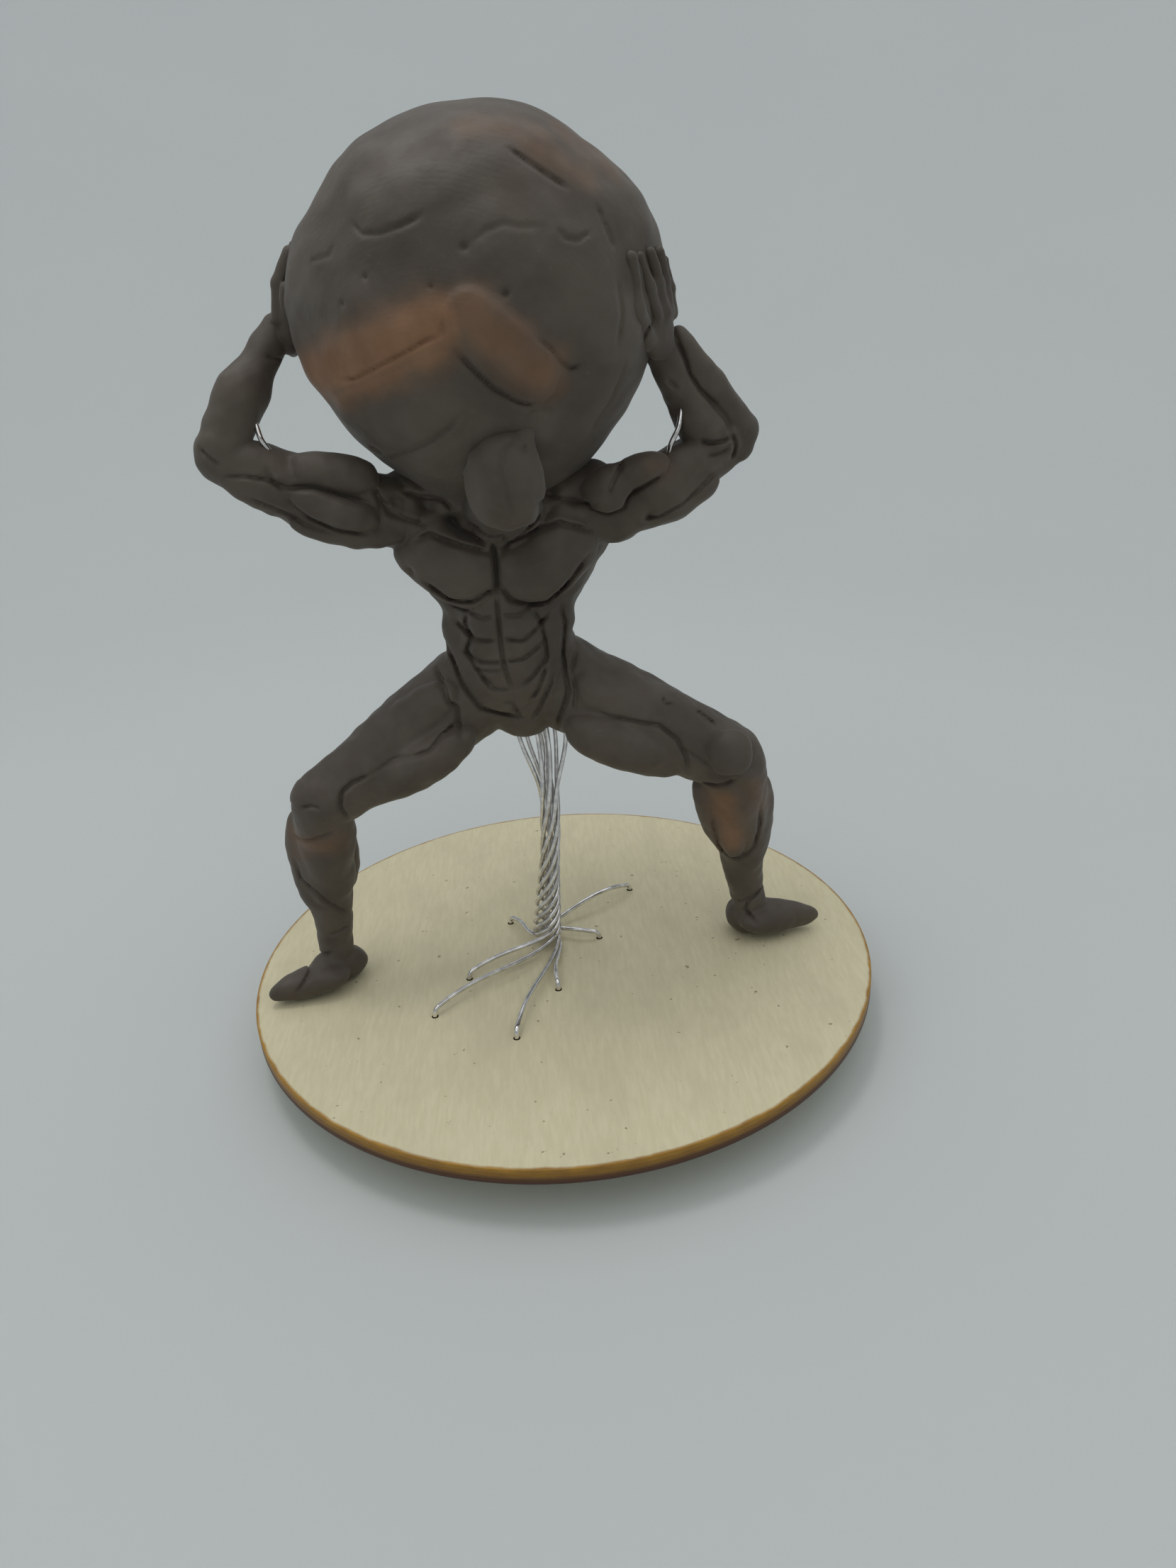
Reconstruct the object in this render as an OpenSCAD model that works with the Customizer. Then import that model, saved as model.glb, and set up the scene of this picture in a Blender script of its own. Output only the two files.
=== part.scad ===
// Small sculpting turntable: a round plywood deck on a low ring bearing,
// with a twisted wire armature and a modelling-clay figure built on it.
// Millimetres. +Z is up, the origin is on the bench under the middle of the deck,
// and the figure faces -Y.

/* [Deck] */
// Diameter of the round plywood deck
deck_d = 120; // [116:1:130]
// Thickness of the plywood
deck_t = 3; // [2.8:0.1:4]
// Height of the deck's underside above the bench
deck_lift = 8; // [8:0.1:9]

/* [Bearing] */
// Radius of the circle that the ball centres run on
pitch_r = 41; // [40:0.1:42]
// Diameter of one bearing ball
ball_d = 3; // [2.8:0.1:3.1]
// Number of bearing balls
ball_count = 18; // [12:1:24]
// Clearance between a ball and its groove
groove_gap = 0.05; // [0.03:0.01:0.08]
// Outer radius of the fixed ring
fixed_ring_r = 48; // [47:0.5:50]
// Inner radius of the turning ring
turning_ring_r = 34; // [33.5:0.1:34]
// Gap between the two rings
ring_gap = 1.6; // [1.4:0.1:1.8]
// Height of the rubber feet
foot_h = 1; // [0.8:0.1:1.2]

/* [Armature] */
// Radius of the bare aluminium wire
wire_r = 0.45; // [0.4:0.01:0.45]
// Turns of twist in the post
twist_turns = 2.6; // [2:0.1:3]
// How strongly the twist tightens towards the deck
twist_bias = 2.6; // [2:0.1:3]
// Radius of the strand circle at the foot of the post
post_foot_r = 2.1; // [2:0.05:2.3]
// Radius of the strand circle at the head of the post
post_head_r = 1.6; // [1.5:0.05:1.8]

/* [Clay ball] */
// Radius of the clay ball on the shoulders
clay_ball_r = 29; // [27:0.5:30]
// Radius of the foil core inside the clay ball
foil_core_r = 20; // [16:0.5:22]

/* [Hidden] */

deck_top = deck_lift + deck_t;
wood = "BurlyWood";
wire_grey = "Silver";
clay_grey = [0.33, 0.29, 0.26];

// Bearing
smooth = 96;
ball_r = ball_d / 2;
groove_r = ball_r + groove_gap;
race_z = 4.5;
outer_gap_r = pitch_r + ring_gap / 2;
inner_gap_r = pitch_r - ring_gap / 2;
fixed_ring_top = deck_lift - 0.6;
turning_ring_bottom = foot_h + 0.6;
cage_t = 1;
cage_h = 4.2;
cage_hole_gap = 0.06;
foot_r = 2.5;
ring_bolt_pcd = 90;
ring_bolt_hole_r = 1.25;
ring_bolt_depth = 4;
plug_r = 1.65;
plug_start_r = pitch_r + ball_r + 0.1;
ring_screw_r = 37;
screw_shank_r = 1;
screw_head_r = 1.9;
screw_head_h = 1.3;
screw_bite = 2.4;
screw_pilot_r = 0.9;

// Armature: the legs of the wires go through these holes in the deck, listed round
// the post, as [x, y], with 1 where the tail is folded outwards and -1 where inwards
leg_holes = [[15.5, 20.5], [-10.5, 11], [-18.5, -8], [-24.5, -19], [-9.5, -27.5], [-1.5, -14], [7.5, 2.5]];
tail_sides = [-1, 1, 1, -1, -1, 1, 1];
leg_hole_r = 0.65;
tail_length = 8;
bend_r = 0.6;
hub = [-3.7, 7.5];
post_head = [-1.2, 7.5, 49];
post_foot_z = 4.2;
phase_lead = 15;
top_splay = 2.6;
strand_count = 7;
wire_sides = 6;
core_offset = 0.52;

// Figure: joints as [x, y, height above the deck]
right_hip = [-14, 5.5, 53.5];
left_hip = [5, 5.5, 54];
right_knee = [-39.5, -8, 41];
left_knee = [32.5, -7.5, 42];
right_ankle = [-44, -2.5, 9];
left_ankle = [37.2, 0.8, 9.5];
right_shoulder_at = [-23.5, 2, 89];
left_shoulder_at = [13, 4, 87.5];
right_elbow = [-47.5, -2, 100.5];
left_elbow = [36.5, 6, 96];
right_wrist = [-36.5, 6.5, 117.5];
left_wrist = [23, 2, 111.5];
right_fingers = [-35.5, 12, 127];
left_fingers = [22, 0.5, 122];
neck_base = [-4, 2.5, 84];
neck_top = [-3, -9, 93];
ball_centre = [-5, 7, 118];

// ---------- helpers ----------

function unit(v) = v / norm(v);

function mix(a, b, t) = a + (b - a) * t;

function ease(t) = let (c = min(1, max(0, t))) c * c * (3 - 2 * c);

// One point of a cubic curve with two handles
function bezier(p0, p1, p2, p3, t) =
  p0 * pow(1 - t, 3) + p1 * (3 * t * pow(1 - t, 2)) + p2 * (3 * t * t * (1 - t)) + p3 * pow(t, 3);

// One point of a smooth curve that passes through q1 and q2
function through(q0, q1, q2, q3, t) =
  0.5 * (2 * q1 + (q2 - q0) * t + (2 * q0 - 5 * q1 + 4 * q2 - q3) * t * t
    + (3 * q1 - q0 - 3 * q2 + q3) * t * t * t);

// A smooth route through a list of points, with several steps between neighbours
function smooth_route(points, steps) = let (last = len(points) - 1) concat(
  [for (i = [0:last - 1]) for (s = [0:steps - 1])
    through(points[max(0, i - 1)], points[i], points[i + 1], points[min(last, i + 2)], s / steps)],
  [points[last]]
);

function tangent(path, i) = unit(path[min(len(path) - 1, i + 1)] - path[max(0, i - 1)]);

// One ring of a wire round path point i; side is never along the wire
function wire_ring(path, i, side, r) =
  let (t = tangent(path, i), u = unit(cross(t, side)), v = cross(t, u))
  [for (k = [0:wire_sides - 1]) path[i] + r * (u * cos(360 * k / wire_sides) + v * sin(360 * k / wire_sides))];

// A bent wire as one closed solid
module wire(path, side, r = wire_r) {
  last = len(path) - 1;
  n = wire_sides;
  polyhedron(
    points = [for (i = [0:last]) each wire_ring(path, i, side, r)],
    faces = concat(
      [[for (k = [0:n - 1]) k]],
      [for (i = [0:last - 1]) for (k = [0:n - 1])
        let (a = i * n + k, b = i * n + (k + 1) % n) each [[a, a + n, b + n], [a, b + n, b]]],
      [[for (k = [n - 1:-1:0]) last * n + k]]
    )
  );
}

// Places children with their Z axis running from a to b
module along(a, b) {
  d = b - a;
  translate(a)
    rotate([0, acos(d.z / norm(d)), atan2(d.y, d.x)])
      children();
}

// Outline of a rounded limb: end radii ra and rb, and rm half way
function limb_outline(length, ra, rm, rb, n = 6) = concat(
  [for (i = [0:n]) let (q = -90 + 90 * i / n) [ra * cos(q), ra * sin(q)]],
  [for (i = [1:n - 1]) let (t = i / n, handle = 2 * rm - (ra + rb) / 2)
    [ra * pow(1 - t, 2) + handle * 2 * t * (1 - t) + rb * t * t, t * length]],
  [for (i = [0:n]) let (q = 90 * i / n) [rb * cos(q), length + rb * sin(q)]]
);

// A limb of clay between two joints of the figure
module limb(a, b, ra, rm, rb) {
  color(clay_grey)
    translate([0, 0, deck_top])
      along(a, b)
        rotate_extrude($fn = 40)
          polygon(limb_outline(norm(b - a), ra, rm, rb));
}

// A lump of clay: the hull of a few balls, each [x, y, height above the deck, radius]
module lump(balls) {
  color(clay_grey)
    translate([0, 0, deck_top])
      hull()
        for (s = balls)
          translate([s[0], s[1], s[2]]) sphere(r = s[3], $fn = 18);
}

// ---------- bearing ----------

module rubber_feet() {
  color("DimGray")
    for (a = [0:90:270])
      rotate([0, 0, a]) translate([ring_bolt_pcd / 2, 0, 0]) cylinder(h = foot_h, r = foot_r, $fn = 32);
}

module race_groove() {
  rotate_extrude($fn = smooth) translate([pitch_r, race_z]) circle(r = groove_r, $fn = 40);
}

module fixed_ring() {
  color("Gainsboro")
    difference() {
      translate([0, 0, foot_h]) cylinder(h = fixed_ring_top - foot_h, r = fixed_ring_r, $fn = smooth);
      cylinder(h = deck_lift, r = outer_gap_r, $fn = smooth);
      race_groove();
      rotate([0, 0, 22.5]) translate([pitch_r, 0, race_z])
        rotate([0, 90, 0]) cylinder(h = 10, r = plug_r, $fn = 32);
      for (a = [45:90:315])
        rotate([0, 0, a]) translate([ring_bolt_pcd / 2, 0, 0])
          cylinder(h = foot_h + ring_bolt_depth, r = ring_bolt_hole_r, $fn = 32);
    }
}

// Plug that closes the hole the balls are loaded through
module filler_plug() {
  color("Silver")
    rotate([0, 0, 22.5]) translate([plug_start_r, 0, race_z])
      rotate([0, 90, 0]) cylinder(h = fixed_ring_r - plug_start_r - 0.15, r = plug_r, $fn = 32);
}

module ball_cage() {
  color("Ivory")
    translate([0, 0, race_z])
      difference() {
        cylinder(h = cage_h, r = pitch_r + cage_t / 2, center = true, $fn = smooth);
        cylinder(h = cage_h + 1, r = pitch_r - cage_t / 2, center = true, $fn = smooth);
        for (i = [0:ball_count - 1])
          rotate([0, 0, 360 * i / ball_count]) translate([pitch_r - cage_t, 0, 0])
            rotate([0, 90, 0]) cylinder(h = 2 * cage_t, r = ball_r + cage_hole_gap, $fn = 32);
      }
}

module bearing_balls() {
  color("LightGray")
    for (i = [0:ball_count - 1])
      rotate([0, 0, 360 * i / ball_count]) translate([pitch_r, 0, race_z]) sphere(r = ball_r, $fn = 32);
}

module turning_ring() {
  color("Gainsboro")
    difference() {
      translate([0, 0, turning_ring_bottom])
        cylinder(h = deck_lift - turning_ring_bottom, r = inner_gap_r, $fn = smooth);
      cylinder(h = deck_lift + 1, r = turning_ring_r, $fn = smooth);
      race_groove();
      for (a = [0:90:270])
        rotate([0, 0, a]) translate([ring_screw_r, 0, 0]) {
          cylinder(h = deck_lift + 1, r = screw_shank_r + 0.1, $fn = 32);
          cylinder(h = turning_ring_bottom + screw_head_h + 0.3, r = screw_head_r + 0.1, $fn = 32);
        }
    }
}

module ring_screws() {
  head_z = turning_ring_bottom + 0.3;
  color("Silver")
    for (a = [0:90:270])
      rotate([0, 0, a]) translate([ring_screw_r, 0, head_z])
        difference() {
          union() {
            cylinder(h = screw_head_h, r = screw_head_r, $fn = 32);
            cylinder(h = deck_lift + screw_bite - head_z, r = screw_shank_r, $fn = 32);
          }
          translate([0, 0, -0.01]) cylinder(h = 0.7, r = 0.75, $fn = 6);
        }
}

module deck() {
  color(wood)
    difference() {
      translate([0, 0, deck_lift]) cylinder(h = deck_t, d = deck_d, $fn = 180);
      for (p = leg_holes)
        translate([p.x, p.y, deck_lift - 1]) cylinder(h = deck_t + 2, r = leg_hole_r, $fn = 24);
      for (a = [0:90:270])
        rotate([0, 0, a]) translate([ring_screw_r, 0, deck_lift - 1])
          cylinder(h = 1 + screw_bite + 0.1, r = screw_pilot_r, $fn = 32);
    }
}

// ---------- armature ----------

function leg_heading(i) = (atan2(leg_holes[i].y - hub.y, leg_holes[i].x - hub.x) + 360) % 360;

// Middle of the twisted post at a height above the deck
function post_axis(z) = [mix(hub.x, post_head.x, z / post_head.z), mix(hub.y, post_head.y, z / post_head.z), z];

// Angle of strand i round the post, from u = 0 at its foot to 1 at its head
function foot_angle(i) = leg_heading(0) + 90 - phase_lead + 360 * i / strand_count;

function strand_angle(i, u) = foot_angle(i) + 360 * twist_turns * (1 - pow(1 - u, twist_bias));

// How far up the post strand i leaves it, where it already heads for its hole
function leave_u(i) =
  1 - pow(1 - (leg_heading(i) + 90 - foot_angle(i)) / (360 * twist_turns), 1 / twist_bias);

function strand_point(i, u) =
  let (a = strand_angle(i, u),
       r = mix(post_foot_r, post_head_r, ease(u * 1.5)),
       spread = top_splay * pow(cos(strand_angle(i, 1)), 3) * ease((u - 0.62) / 0.3))
  post_axis(mix(post_foot_z, post_head.z, u)) + [r * cos(a) + spread, r * sin(a), 0];

// The leg of strand i from the post to its hole, down through the deck and folded under it
function leg_path(i) =
  let (h = leg_holes[i],
       out = [cos(leg_heading(i)), sin(leg_heading(i)), 0],
       down = [0, 0, -1],
       start = strand_point(i, leave_u(i)),
       first = unit(start - strand_point(i, leave_u(i) + 0.01)),
       brow = [h.x, h.y, 0.1 + bend_r] - out * bend_r,
       span = norm(brow - start),
       under = -deck_t - wire_r - 0.05,
       fold = out * tail_sides[i])
  concat(
    [for (t = [0.09:0.13:0.9]) bezier(start, start + first * span * 0.35,
      brow - out * span * 0.4 + [0, 0, 0.8], brow, t)],
    [for (q = [0:30:90]) brow + bend_r * (out * sin(q) + down * (1 - cos(q)))],
    [for (q = [0:30:90]) [h.x, h.y, under + bend_r] + bend_r * (fold * (1 - cos(q)) + down * sin(q))],
    [[h.x, h.y, under] + fold * tail_length]
  );

// Steps along the post, closer where the twist is tight
post_steps = 40;

module strand(i) {
  heading = leg_heading(i);
  color(wire_grey)
    translate([0, 0, deck_top])
      wire(
        concat([for (k = [post_steps:-1:0]) strand_point(i, mix(leave_u(i), 1, pow(k / post_steps, 1.5)))],
          leg_path(i)),
        [-sin(heading), cos(heading), 0]
      );
}

// Two wires in the middle of the post, which run on up the spine
module core_wires() {
  top = [[-7, 5, 92], [-3, -8, 94]];
  color(wire_grey)
    translate([0, 0, deck_top])
      for (s = [0, 1])
        wire(
          smooth_route([
            for (z = [3:8:43]) post_axis(z) + core_offset * [cos(90 * z / 8 + 180 * s), sin(90 * z / 8 + 180 * s), 0],
            [-4.2 + 1.4 * s, 5.5, 57], [-5.8 + 1.4 * s, 4.5, 70], [-6 + 2 * s, 3.5, 82], top[s]
          ], 4),
          [0.2, 1, 0]
        );
}

module arm_wire() {
  color(wire_grey)
    translate([0, 0, deck_top])
      wire(smooth_route([right_fingers, right_wrist, right_elbow, right_shoulder_at,
        [-5, 5, 86.5], left_shoulder_at, left_elbow, left_wrist, left_fingers], 5), [0, 1, 0.3]);
}

module leg_wire() {
  color(wire_grey)
    translate([0, 0, deck_top])
      wire(smooth_route([right_ankle, right_knee, right_hip, [-4.5, 9.6, 55], left_hip, left_knee, left_ankle], 5),
        [0, 1, 0.3]);
}

module foil_core() {
  color("Silver")
    translate(ball_centre + [0, 0, deck_top]) sphere(r = foil_core_r, $fn = 48);
}

// ---------- clay figure ----------

module pelvis() {
  lump([[-12, 5.5, 54, 8], [3.5, 5.5, 54.5, 8], [-3, 7, 48, 4.5]]);
}

module abdomen() {
  lump([[-8.5, 3.5, 67, 8], [-2, 3.5, 67, 8], [-8, 3.5, 58, 7.5], [-1.5, 3.5, 58, 7.5]]);
}

module chest() {
  lump([[-11.5, 4, 80, 8.5], [6, 4.5, 80, 8.5], [-10, 5, 87, 7], [2, 5, 87, 7], [-5, 4, 73, 9]]);
}

module right_pectoral() {
  lump([[-14.5, -0.5, 80, 6], [-10.5, -1.5, 79, 6]]);
}

module left_pectoral() {
  lump([[-1.5, -1.5, 78.5, 6], [4, -0.5, 80, 6]]);
}

module neck() {
  limb(neck_base, neck_top, 8, 7.5, 6);
}

module head() {
  limb([-3, -14, 93], [-0.5, -13.5, 98.2], 5.8, 6.1, 4.2);
}

module right_shoulder() {
  lump([[-20, 3, 88.5, 7.5], [-26, 2, 91, 7]]);
}

module left_shoulder() {
  lump([[10.5, 4.5, 87.5, 7.5], [15, 4.5, 86.5, 7]]);
}

module right_upper_arm() {
  limb(right_shoulder_at, right_elbow, 6.5, 6.4, 4.4);
}

module left_upper_arm() {
  limb(left_shoulder_at, left_elbow, 6.5, 6.6, 4);
}

module right_biceps() {
  lump([[-28, -1.5, 92.5, 4.4], [-35, -2.5, 96.5, 3.6]]);
}

module left_biceps() {
  lump([[13, -0.5, 91, 4], [21, -0.5, 93, 3.6]]);
}

module right_forearm() {
  limb(right_elbow + [0.5, 0, 1], right_wrist, 4.4, 5, 2.9);
}

module left_forearm() {
  limb(left_elbow + [-0.5, 0, 1], left_wrist, 4.3, 5, 3.2);
}

module right_hand() {
  lump([concat(right_wrist, 2.8), concat(right_fingers, 2.5), [-37, 9.5, 122, 2.8]]);
}

module left_hand() {
  lump([concat(left_wrist, 3), concat(left_fingers, 2.3), [23.5, 0.8, 117, 2.8]]);
}

module right_thigh() {
  limb(right_hip, right_knee, 9, 8.4, 6);
}

module left_thigh() {
  limb(left_hip, left_knee, 9, 8.4, 6);
}

module right_kneecap() {
  lump([[-41.5, -12.5, 43, 3.2], [-41, -12.5, 40, 3]]);
}

module left_kneecap() {
  lump([[32.5, -11.5, 45, 3.4], [32.5, -11.5, 43.5, 3.4]]);
}

module right_shin() {
  limb(right_knee + [-1, 0, -1], right_ankle, 6, 5.4, 3.7);
}

module left_shin() {
  limb(left_knee + [1, 0, -1], left_ankle, 6, 5.4, 3.7);
}

module right_calf() {
  lump([[-42.5, -2, 31, 4.8], [-43.5, -0.5, 24, 4]]);
}

module left_calf() {
  lump([[34.5, -0.5, 32, 4.8], [35.5, 1.5, 25, 4]]);
}

module right_foot() {
  lump([[-42, -0.5, 5.2, 3.4], [-44.5, -3.5, 8.5, 3.4], [-49, -9.5, 4, 2.6], [-53.5, -10, 3.6, 2.2]]);
}

module left_foot() {
  lump([[37.5, 2.8, 5, 3.3], [38, 0.5, 8.5, 3.3], [43.5, -0.8, 4, 2.6], [49.5, -0.2, 3.6, 2.2]]);
}

module clay_ball() {
  color(clay_grey)
    translate(ball_centre + [0, 0, deck_top])
      difference() {
        sphere(r = clay_ball_r, $fn = 72);
        sphere(r = foil_core_r, $fn = 48);
      }
}

rubber_feet();
fixed_ring();
filler_plug();
ball_cage();
bearing_balls();
turning_ring();
ring_screws();
deck();
strand(0);  // strand_1
strand(1);  // strand_2
strand(2);  // strand_3
strand(3);  // strand_4
strand(4);  // strand_5
strand(5);  // strand_6
strand(6);  // strand_7
core_wires();
arm_wire();
leg_wire();
foil_core();
pelvis();
abdomen();
chest();
right_pectoral();
left_pectoral();
neck();
head();
right_shoulder();
right_upper_arm();
right_biceps();
right_forearm();
right_hand();
left_shoulder();
left_upper_arm();
left_biceps();
left_forearm();
left_hand();
right_thigh();
right_kneecap();
right_shin();
right_calf();
right_foot();
left_thigh();
left_kneecap();
left_shin();
left_calf();
left_foot();
clay_ball();
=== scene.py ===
"""Looks of a small sculpting turntable with a clay figure on a wire armature.

The clay is sculpted as distance fields on a lattice: every lump of clay is a few rounded solids,
the lumps are blended into one skin, creases are pressed into it, and each lump is then cut out
as its own closed mesh. Distances here are in millimetres; the frame and the meshes are in metres.
"""
import math

import bpy
import numpy as np
import openvdb
from mathutils import Euler, Matrix, Vector


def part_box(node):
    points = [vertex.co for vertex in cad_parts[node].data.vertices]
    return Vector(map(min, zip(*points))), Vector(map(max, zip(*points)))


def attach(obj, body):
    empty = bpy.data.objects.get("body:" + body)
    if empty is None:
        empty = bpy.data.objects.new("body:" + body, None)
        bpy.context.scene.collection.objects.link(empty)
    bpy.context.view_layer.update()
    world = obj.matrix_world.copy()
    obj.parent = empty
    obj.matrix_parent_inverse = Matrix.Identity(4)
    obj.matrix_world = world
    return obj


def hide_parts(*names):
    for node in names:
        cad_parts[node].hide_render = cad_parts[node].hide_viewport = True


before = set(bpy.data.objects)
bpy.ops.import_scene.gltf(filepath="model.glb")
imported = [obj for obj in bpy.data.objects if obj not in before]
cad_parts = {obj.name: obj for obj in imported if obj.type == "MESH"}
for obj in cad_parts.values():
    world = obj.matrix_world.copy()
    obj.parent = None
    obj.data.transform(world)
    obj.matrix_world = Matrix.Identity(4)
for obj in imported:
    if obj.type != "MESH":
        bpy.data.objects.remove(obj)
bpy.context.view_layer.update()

MM = 0.001
DECK_LOW, DECK_HIGH = (np.array(corner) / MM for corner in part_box("deck"))
DECK_TOP = float(DECK_HIGH[2])
DECK_THICK = float(DECK_HIGH[2] - DECK_LOW[2])
DECK_R = float(DECK_HIGH[0])


# ---------- camera, light, floor ----------

def make_camera():
    """The view slightly from above, with a phone's wide lens held a little tilted."""
    tilt, roll, pan = (math.radians(angle) for angle in (65.02, 3.4, -3.8))
    data = bpy.data.cameras.new("camera")
    data.sensor_width = 36
    data.lens = 24.97
    data.clip_start = 0.01
    cam = bpy.data.objects.new("camera", data)
    spot = Vector((0, -184.56, DECK_TOP + 121.56)) * MM
    cam.matrix_world = Matrix.LocRotScale(spot, Euler((tilt, roll, pan)), None)
    bpy.context.collection.objects.link(cam)
    bpy.context.scene.camera = cam


def area_light(name, spot, aim, size, power, tint=(1, 1, 1)):
    data = bpy.data.lights.new(name, "AREA")
    data.shape = "DISK"
    data.size = size
    data.energy = power
    data.color = tint
    lamp = bpy.data.objects.new(name, data)
    lamp.location = spot
    lamp.rotation_euler = (Vector(aim) - Vector(spot)).to_track_quat("-Z", "Y").to_euler()
    bpy.context.collection.objects.link(lamp)


def make_light():
    world = bpy.data.worlds.new("studio")
    world.use_nodes = True
    sky = world.node_tree.nodes["Background"]
    sky.inputs["Color"].default_value = (0.90, 0.95, 1.0, 1)
    sky.inputs["Strength"].default_value = 0.15
    bpy.context.scene.world = world
    bpy.context.scene.view_settings.view_transform = "Standard"
    area_light("overhead", (0, -0.05, 1.25), (0, 0, 0), 3.0, 17.0, (0.97, 0.99, 1.0))
    area_light("softbox", (-0.10, 0.02, 0.60), (0, 0, 0.06), 0.15, 0.45, (1.0, 0.99, 0.97))


def make_floor():
    """A pale sheet that curves up into a shallow bowl, so that it fills the view from any side."""
    flat, bend, slope, run = 0.36, 0.5, math.radians(38), 1.9
    steps = 24
    profile = [(flat + bend * math.sin(q), bend * (1 - math.cos(q)))
               for q in (slope * i / steps for i in range(steps + 1))]
    last_r, last_z = profile[-1]
    profile += [(last_r + run * math.cos(slope), last_z + run * math.sin(slope))]
    points, faces = lathe(profile[::-1], 96)
    faces.pop(-2)  # the bowl is open above
    mesh = bpy.data.meshes.new("floor")
    mesh.from_pydata(points, [], faces)
    mesh.polygons.foreach_set("use_smooth", [True] * len(faces))
    floor = bpy.data.objects.new("floor", mesh)
    bpy.context.collection.objects.link(floor)
    floor.data.materials.append(floor_material())


# ---------- node material helper ----------

class Shader:
    """A node material built with short calls."""

    def __init__(self, name):
        self.material = bpy.data.materials.new(name)
        self.material.use_nodes = True
        self.tree = self.material.node_tree
        self.principled = self.tree.nodes["Principled BSDF"]

    def node(self, kind, **settings):
        made = self.tree.nodes.new(kind)
        for key, value in settings.items():
            setattr(made, key, value)
        return made

    def put(self, socket, value):
        if isinstance(value, bpy.types.NodeSocket):
            self.tree.links.new(value, socket)
        else:
            socket.default_value = value

    def fill(self, made, **inputs):
        """Sets or links a node's inputs by name, with _ for a space."""
        for key, value in inputs.items():
            self.put(made.inputs[key.replace("_", " ")], value)

    def place(self, scale=(1, 1, 1), spin=(0, 0, 0), shift=(0, 0, 0)):
        """Object coordinates, scaled, turned and shifted."""
        made = self.node("ShaderNodeMapping")
        here = self.node("ShaderNodeTexCoord").outputs["Object"]
        self.fill(made, Vector=here, Scale=scale, Rotation=spin, Location=shift)
        return made.outputs["Vector"]

    def round_place(self):
        """Distance from the vertical axis, and height."""
        split = self.node("ShaderNodeSeparateXYZ")
        self.put(split.inputs[0], self.place())
        squares = [self.math("POWER", split.outputs[k], 2.0) for k in (0, 1)]
        return self.math("SQRT", self.math("ADD", *squares)), split.outputs[2]

    def noise(self, vector, scale, detail=3.0, roughness=0.55):
        made = self.node("ShaderNodeTexNoise")
        self.fill(made, Vector=vector, Scale=scale, Detail=detail, Roughness=roughness)
        return made.outputs["Fac"]

    def ramp(self, value, low, high, low_out=0.0, high_out=1.0):
        made = self.node("ShaderNodeMapRange", interpolation_type="SMOOTHSTEP")
        self.fill(made, Value=value, From_Min=low, From_Max=high, To_Min=low_out, To_Max=high_out)
        return made.outputs["Result"]

    def math(self, operation, a, b=0.0):
        made = self.node("ShaderNodeMath", operation=operation)
        self.put(made.inputs[0], a)
        self.put(made.inputs[1], b)
        return made.outputs[0]

    def mix(self, factor, a, b):
        """Blend of two colours, each a colour or a socket."""
        made = self.node("ShaderNodeMix", data_type="RGBA")
        self.put(made.inputs["Factor"], factor)
        for socket, value in ((made.inputs[6], a), (made.inputs[7], b)):
            self.put(socket, (*value, 1) if isinstance(value, tuple) else value)
        return made.outputs[2]

    def bump(self, height, distance, strength, before=None):
        made = self.node("ShaderNodeBump")
        self.fill(made, Height=height, Distance=distance, Strength=strength)
        if before is not None:
            self.put(made.inputs["Normal"], before)
        return made.outputs["Normal"]

    def finish(self, color, roughness, **inputs):
        self.fill(self.principled, Base_Color=color, Roughness=roughness, **inputs)
        return self.material


def floor_material():
    s = Shader("pale_sheet")
    spots = s.noise(s.place(), 6.0, 2.0)
    return s.finish(s.mix(spots, (0.57, 0.60, 0.595), (0.60, 0.63, 0.62)), 0.75)


def clay_material():
    s = Shader("modelling_clay")
    here = s.place()
    broad = s.noise(here, 90.0, 3.0)
    fine = s.noise(here, 900.0, 4.0, 0.6)
    warm = s.node("ShaderNodeAttribute", attribute_name="warm").outputs["Fac"]
    grey = s.mix(s.ramp(broad, 0.35, 0.68), (0.064, 0.048, 0.034), (0.092, 0.072, 0.053))
    tan = s.mix(s.ramp(s.noise(here, 160.0, 3.0), 0.3, 0.7), (0.20, 0.092, 0.040), (0.255, 0.130, 0.062))
    color = s.mix(warm, grey, tan)
    color = s.mix(s.ramp(fine, 0.62, 0.8, 0.0, 0.35), color, (0.14, 0.115, 0.09))
    ridges = s.node("ShaderNodeTexWave", wave_type="RINGS", rings_direction="SPHERICAL")
    s.fill(ridges, Vector=s.place(shift=(0.013, 0.021, -0.11)), Scale=390.0, Distortion=3.0, Detail_Scale=0.6)
    printed = s.ramp(s.noise(here, 120.0, 1.0), 0.55, 0.62)
    height = s.math("MULTIPLY", ridges.outputs["Fac"], printed)
    normal = s.bump(height, 0.00002, 0.4)
    normal = s.bump(fine, 0.00010, 0.5, normal)
    normal = s.bump(s.noise(here, 330.0, 3.0), 0.00022, 0.5, normal)
    roughness = s.ramp(s.noise(here, 200.0, 3.0), 0.3, 0.7, 0.56, 0.70)
    return s.finish(color, roughness, Normal=normal, Specular_IOR_Level=0.5,
                    Sheen_Weight=0.10, Sheen_Roughness=0.5)


def wire_material():
    s = Shader("bare_wire")
    streak = s.noise(s.place(), 700.0, 3.0)
    color = s.mix(s.ramp(streak, 0.35, 0.7), (0.60, 0.58, 0.57), (0.88, 0.86, 0.85))
    rough = s.ramp(s.noise(s.place(), 400.0, 2.0), 0.3, 0.7, 0.10, 0.20)
    return s.finish(color, rough, Normal=s.bump(streak, 0.00001, 0.3), Metallic=1.0)


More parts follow.
